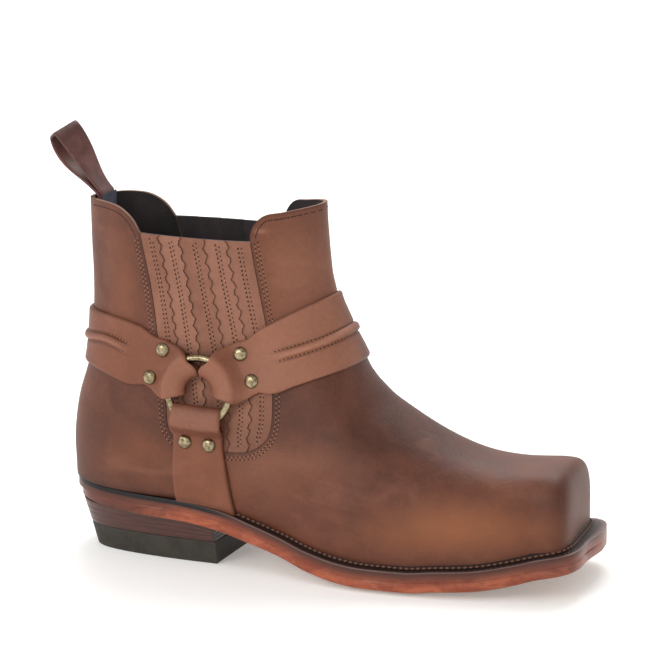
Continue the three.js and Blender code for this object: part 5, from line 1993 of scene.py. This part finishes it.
@dataclass
class Bottom:
    """Welt, outsole, stacked heel and their sewing, laid round the leather's outline."""

    skin: Skin
    finishes: Finishes
    half: int = 300
    heel_middle: tuple[float, float] = (-14, 0)
    toe_middle: tuple[float, float] = (205, 1.5)
    lip_from: tuple[float, float] = (26, 58)
    corner: float = 3.4
    lock_pitch: float = 3.2
    chains: dict[Side, Array] = field(default_factory=dict)
    outs: dict[Side, Array] = field(default_factory=dict)
    ins: dict[Side, Array] = field(default_factory=dict)

    def rim(self, middle: Array, way: Array) -> Array:
        """Where a level ray meets the leather at the welt's height."""
        spot = middle + way * 30
        for _ in range(5):
            start = middle + way * 150
            hit = self.skin.cast((start[0], start[1], LAST.feather(spot[0])), (-way[0], -way[1], 0))
            spot = hit[0][:2]
        return spot

    def __post_init__(self) -> None:
        """Finds the outline on both sides, from the heel's tip to the toe's."""
        heel, toe = np.array(self.heel_middle), np.array(self.toe_middle)
        for side in Side:
            spots, ways = [], []
            arcs = [(heel, t) for t in np.linspace(180, 90, 60)]
            arcs += [(heel * (1 - k) + toe * k, 90) for k in np.linspace(0, 1, 160)[1:-1]]
            arcs += [(toe, t) for t in np.linspace(90, 0, 110)]
            for middle, turn in arcs:
                angle = math.radians(turn)
                way = np.array([math.cos(angle), side.value * math.sin(angle)])
                spots.append(self.rim(middle, way))
                ways.append(-way)
            both = joined([np.array(spots), np.array(ways)], axis=1)
            reach = joined([[0], np.cumsum(norm(np.diff(both[:, :2], axis=0), axis=1))])
            at = np.linspace(0, reach[-1], self.half + 1)
            even = np.stack([np.interp(at, reach, both[:, k]) for k in range(4)], -1)
            for turn in range(26):
                calm = even[1:-1] * 0.5 + (even[:-2] + even[2:]) * 0.25
                even[1:-1] = np.where((turn < 3) | (even[1:-1, :1] > 185), calm, even[1:-1])
            step = np.gradient(even[:, :2], axis=0)
            out = unit(np.stack([-step[:, 1], step[:, 0]], -1)) * side.value
            out[0], out[-1] = (-1, 0), (1, 0)
            self.chains[side], self.outs[side], self.ins[side] = even[:, :2], out, unit(even[:, 2:])

    def ring(self, table: dict[Side, Array]) -> Array:
        """A closed round of both sides, from the heel's tip along the lateral side."""
        return joined([table[Side.LATERAL], table[Side.MEDIAL][-2:0:-1]])

    def margin(self, x: Array, y: Array, low: float = 0.0) -> Array:
        """How far the edge stands out from the leather; low draws it in under the heel's back."""
        s = SIZES
        rise = ramp(x, s.along(-0.016), s.along(0.53))
        drawn = low * (1 - ramp(x, s.along(-0.016), s.along(0.189)))
        corner = self.corner * ramp(x, 196, 230) * ramp(y, -5, 26)
        return s.margin_back + (s.margin_front - s.margin_back) * rise - drawn + corner

    def level(self, x: Array, z: Array) -> Array:
        """Share of the height from the ground face to the welt's top."""
        return (z - LAST.sole(x)) / (LAST.outsole(x) + SIZES.welt)

    def welt(self) -> None:
        """Sweeps the welt with its raised inner lip."""
        spots, outs = self.ring(self.chains), self.ring(self.outs)
        feather = LAST.feather(spots[:, 0])
        m = self.margin(spots[:, 0], spots[:, 1])
        lip = ramp(spots[:, 0], *self.lip_from)
        flat = (m - 0.6) * (1 - lip)
        rows = [
            (-3.5, -5.3, 0), (m - 0.12, -5.5, 0), (m, -5.4, 0), (m, -2.8, 0),
            (m, -0.6, 0), (m - 0.18, -0.15, 0), (m - 0.6, 0, 0),
            ((m + 2.2) / 2 * lip + flat - 0.1, 0, 0.5), (2.4 * lip + flat - 0.2, 0.05 * lip, 1),
            (1.8 * lip + flat - 0.3, 0.35 * lip, 1), (1.35 * lip + flat - 0.4, 1.1 * lip, 1),
            (0.95 * lip + flat - 0.5, 2.0 * lip, 1), (0.55 * lip + flat - 0.6, 2.7 * lip, 1),
            (0.1 * lip + flat - 0.8, 3.0 * lip, 1), (-0.9 * lip + flat - 1, 3.0 * lip, 1), (-3.5, 0, 1),
        ]
        loops = np.stack([
            np.stack(
                [spots[:, 0] + outs[:, 0] * u, spots[:, 1] + outs[:, 1] * u, feather + z], -1,
            ) for u, z, _ in rows
        ], 1)
        # The lip and the channel by the upper are made near black.
        burnt = np.array([b for _, _, b in rows])[None, :] * np.ones((len(spots), 1))
        pale = np.zeros_like(burnt)
        # Painted highlight along the welt's top outer corner, fading out towards the heel.
        pale[:, 5:7] = ramp(spots[:, 0], 20, 60)[:, None]
        marks = {"burnt": burnt, "pale": pale, "level": self.level(loops[..., 0], loops[..., 2])}
        welt = Bench.grid("welt_leather", loops, marks=marks, ring=True)
        dress(welt, "welt_leather", ["welt"], self.finishes.sole, angle=45)

    def outsole(self) -> None:
        """Lays the outsole across, station by station."""
        s = SIZES
        loops, marks = [], {"level": [], "tread": []}
        for i in range(self.half + 1):
            sides = []
            for side in Side:
                p, n, inner = self.chains[side][i], self.outs[side][i], self.ins[side][i]
                x = p[0]
                m = self.margin(x, p[1], s.seat_inset)
                rise = s.edge_rise * ramp(x, s.along(0.343), s.along(0.513))
                low, top = LAST.sole(x), float(LAST.sole(x) + LAST.outsole(x)) - 0.02
                deep = [(9.0, 0.0), (4.5, rise * 0.3), (1.2, rise * 0.85)]
                rows = [(*(p + n * m + inner * d), low + z) for d, z in deep]
                edge = [
                    (-0.35, rise + 0.12), (0, rise + 0.6), (0, (top - low) * 0.55), (0, top - low - 0.1),
                    (-0.1, top - low),
                ]
                rows += [(*(p + n * (m + d)), low + z) for d, z in edge]
                sides.append(rows)
            a, b = (np.array(v) for v in sides)
            across = np.linspace(0, 1, 7)[1:-1, None]
            under = b[0] * (1 - across) + a[0] * across
            over = a[-1] * (1 - across) + b[-1] * across
            under[:, 2], over[:, 2] = LAST.sole(under[:, 0]), over[:, 2] - 0.2
            loop = joined([a, over, b[::-1], under])
            loops.append(loop)
            tread = np.array(
                [1, 1, 0.7, 0.15, 0, 0, 0, 0] + [0] * 5 + [0, 0, 0, 0, 0.15, 0.7, 1, 1] + [1] * 5
            )
            marks["tread"].append(tread)
            marks["level"].append(self.level(loop[:, 0], loop[:, 2]))
        tables = {name: np.array(v) for name, v in marks.items()}
        sole = Bench.grid("outsole_leather", np.array(loops), marks=tables)
        dress(sole, "sole_leather", ["outsole"], self.finishes.sole, angle=45)

    def heel_ring(self, height: float, over: float, inset: float = 0.0, steps: int = 44) -> Array:
        """Outline of the heel block at a height: flat breast, rounded back.

        Args:
            height: height that its slope is worked out for.
            over: share of the way from the block's foot up to the sole line, or below 0 for a level ring.
            inset: how far the outline is drawn in.
            steps: points on each side.

        Returns:
            Rows of x, y and z.
        """
        s = SIZES
        share = height / s.heel_height
        back = s.heel_curve + s.heel_ground_under + (s.heel_seat_under - s.heel_ground_under) * share + inset
        wide = s.heel_ground_half + (s.heel_seat_half - s.heel_ground_half) * share - inset
        front = s.heel_curve + s.heel_length - s.breast_under * share - inset
        swing = math.pi / 2 * (np.arange(steps + 1) / steps) ** 0.9
        x = front - (front - back) * np.sin(swing)
        y = np.maximum(wide * np.cos(swing) ** (2 / 4.2) * (1 - 0.02 * np.cos(swing)), 0)
        y[-1] = 0
        side = np.stack([x, -y], -1)
        breast = np.stack([np.full(5, front), np.linspace(y[0], -y[0], 7)[1:-1]], -1)
        flat = joined([side, (side * [1, -1])[-2::-1], breast])
        z = np.full(len(flat), height)
        if over >= 0:
            foot = s.top_lift + s.fit
            z = foot + (LAST.sole(flat[:, 0]) - 0.02 - foot) * over
        return joined([flat, z[:, None]], axis=1)

    def heel(self) -> None:
        """Stacks the leather lifts and sets the rubber top lift under them."""
        s = SIZES
        high = s.heel_height - s.top_lift
        lifts = 4
        rings, burnt = [], []
        for k in range(lifts):
            for t, inset, dark in (
                (0.0, 0.1, 1), (0.07, 0.0, 0.2), (0.5, -0.03, 0), (0.93, 0.0, 0.2), (1.0, 0.1, 1),
            ):
                share = (k + t) / lifts
                rings.append(self.heel_ring(s.top_lift + high * share, share, inset))
                burnt.append(dark * 0.22)
        marks = {"burnt": np.array(burnt)[:, None]}
        stack = Bench.grid("heel_lifts", np.array(rings), marks=marks)
        dress(stack, "heel_leather", ["heel_stack"], self.finishes.heel, angle=45)
        rows = (
            (0.0, 0.7), (0.12, 0.3), (0.5, 0.06), (1.1, 0.0), (6, 0.0), (11.6, 0.0), (12.3, 0.1),
            (12.7, 0.45),
        )
        rings = [self.heel_ring(z, -1, inset) for z, inset in rows]
        lift = Bench.grid("heel_rubber_lift", np.array(rings))
        dress(lift, "heel_rubber", ["heel_top_lift"], self.finishes.rubber, angle=45)

    def row(self, away: float, high: float, pitch: float, start: float, tilt: float) -> Spots:
        """Places of a row of stitches on the welt, from a place along the foot round the toe."""
        spots, outs = self.ring(self.chains), self.ring(self.outs)
        line = np.column_stack([spots + outs * away, LAST.feather(spots[:, 0]) + high])
        places, ways = walk(line, pitch)
        near = [int(np.argmin(norm(line - p, axis=1))) for p in places]
        return [
            (p, w, unit(np.array([*(outs[i] * tilt), 1.0])))
            for p, w, i in zip(places, ways, near) if p[0] > start
        ]

    def build(self, seams: Seams) -> None:
        """Builds every piece and its sewing."""
        self.welt()
        self.outsole()
        self.heel()
        seams.sew(
            "welt_lock_stitches", self.row(
                1.45, 1.3, self.lock_pitch, 34, 1.5,
            ), "welt_leather", self.finishes.lock,
            2.7, self.lock_pitch, 1.45,
        )
        seams.sew(
            "welt_outer_stitches", self.row(
                3.9, 0.12, 2.9, 150, 0.0,
            ), "welt_leather", self.finishes.dark_lock,
            2.3, 2.9, 0.8,
        )


def tree_of(piece: Piece) -> BVHTree:
    """Search tree of a piece, in mm."""
    return BVHTree.FromPolygons(
        Bench.places(piece).tolist(), [list(p.vertices) for p in piece.data.polygons],
    )


def main() -> None:
    """Builds and dresses the boot, piece by piece."""
    logging.basicConfig(level=logging.INFO, format="%(name)s: %(message)s")
    Studio().build()
    finishes = Finishes()
    upper = Upper(LAST, finishes)
    upper.build()
    seams = Seams(finishes)
    seams.sew("upper_stitches", upper.stitches(), "upper_leather", finishes.thread)
    seams.sew("collar_stitches", upper.collar_stitches(), "upper_leather", finishes.hole, 1.9, 2.9, 0.62)
    for side in Side:
        gore = Gore(finishes, side, upper.outer)
        gore.build()
        seams.sew(f"gore_stitches_{side.word}", gore.stitches(), "gore_elastic", finishes.thread)
    frames = {side: RingFrame.on(upper.outer, side) for side in Side}
    front = Band(
        "strap_front_leather", "strap_front", upper.outer, finishes, frames, FRONT_END,
        FRONT_TOP, FRONT_FOOT, FRONT_BEAD, True, 72,
    )
    back = Band(
        "strap_back_leather", "strap_back", upper.outer, finishes, frames, BACK_END,
        BACK_TOP, BACK_FOOT, BACK_BEAD, False, -8,
    )
    trees = {}
    for name, band in (("front", front), ("back", back)):
        tree = tree_of(band.build())
        seams.sew(f"strap_{name}_stitches", band.stitches(), "strap_leather", finishes.thread, 1.5, 2.3, 0.5)
        trees.update({f"{name}_{side.word}": tree for side in Side})
    for side in Side:
        foot = FootStrap(side, upper.outer, finishes, frames[side])
        trees[f"foot_{side.word}"] = tree_of(foot.build())
    hardware = Hardware(finishes, frames, upper.outer)
    hardware.rings()
    hardware.rivets(trees)
    PullLoop(finishes, upper.inner).build()
    Bottom(upper.outer, finishes).build(seams)
    frame["nodes"]["insole"].data.materials.clear()
    frame["nodes"]["insole"].data.materials.append(finishes.insole)


if __name__ == "__main__":
    main()
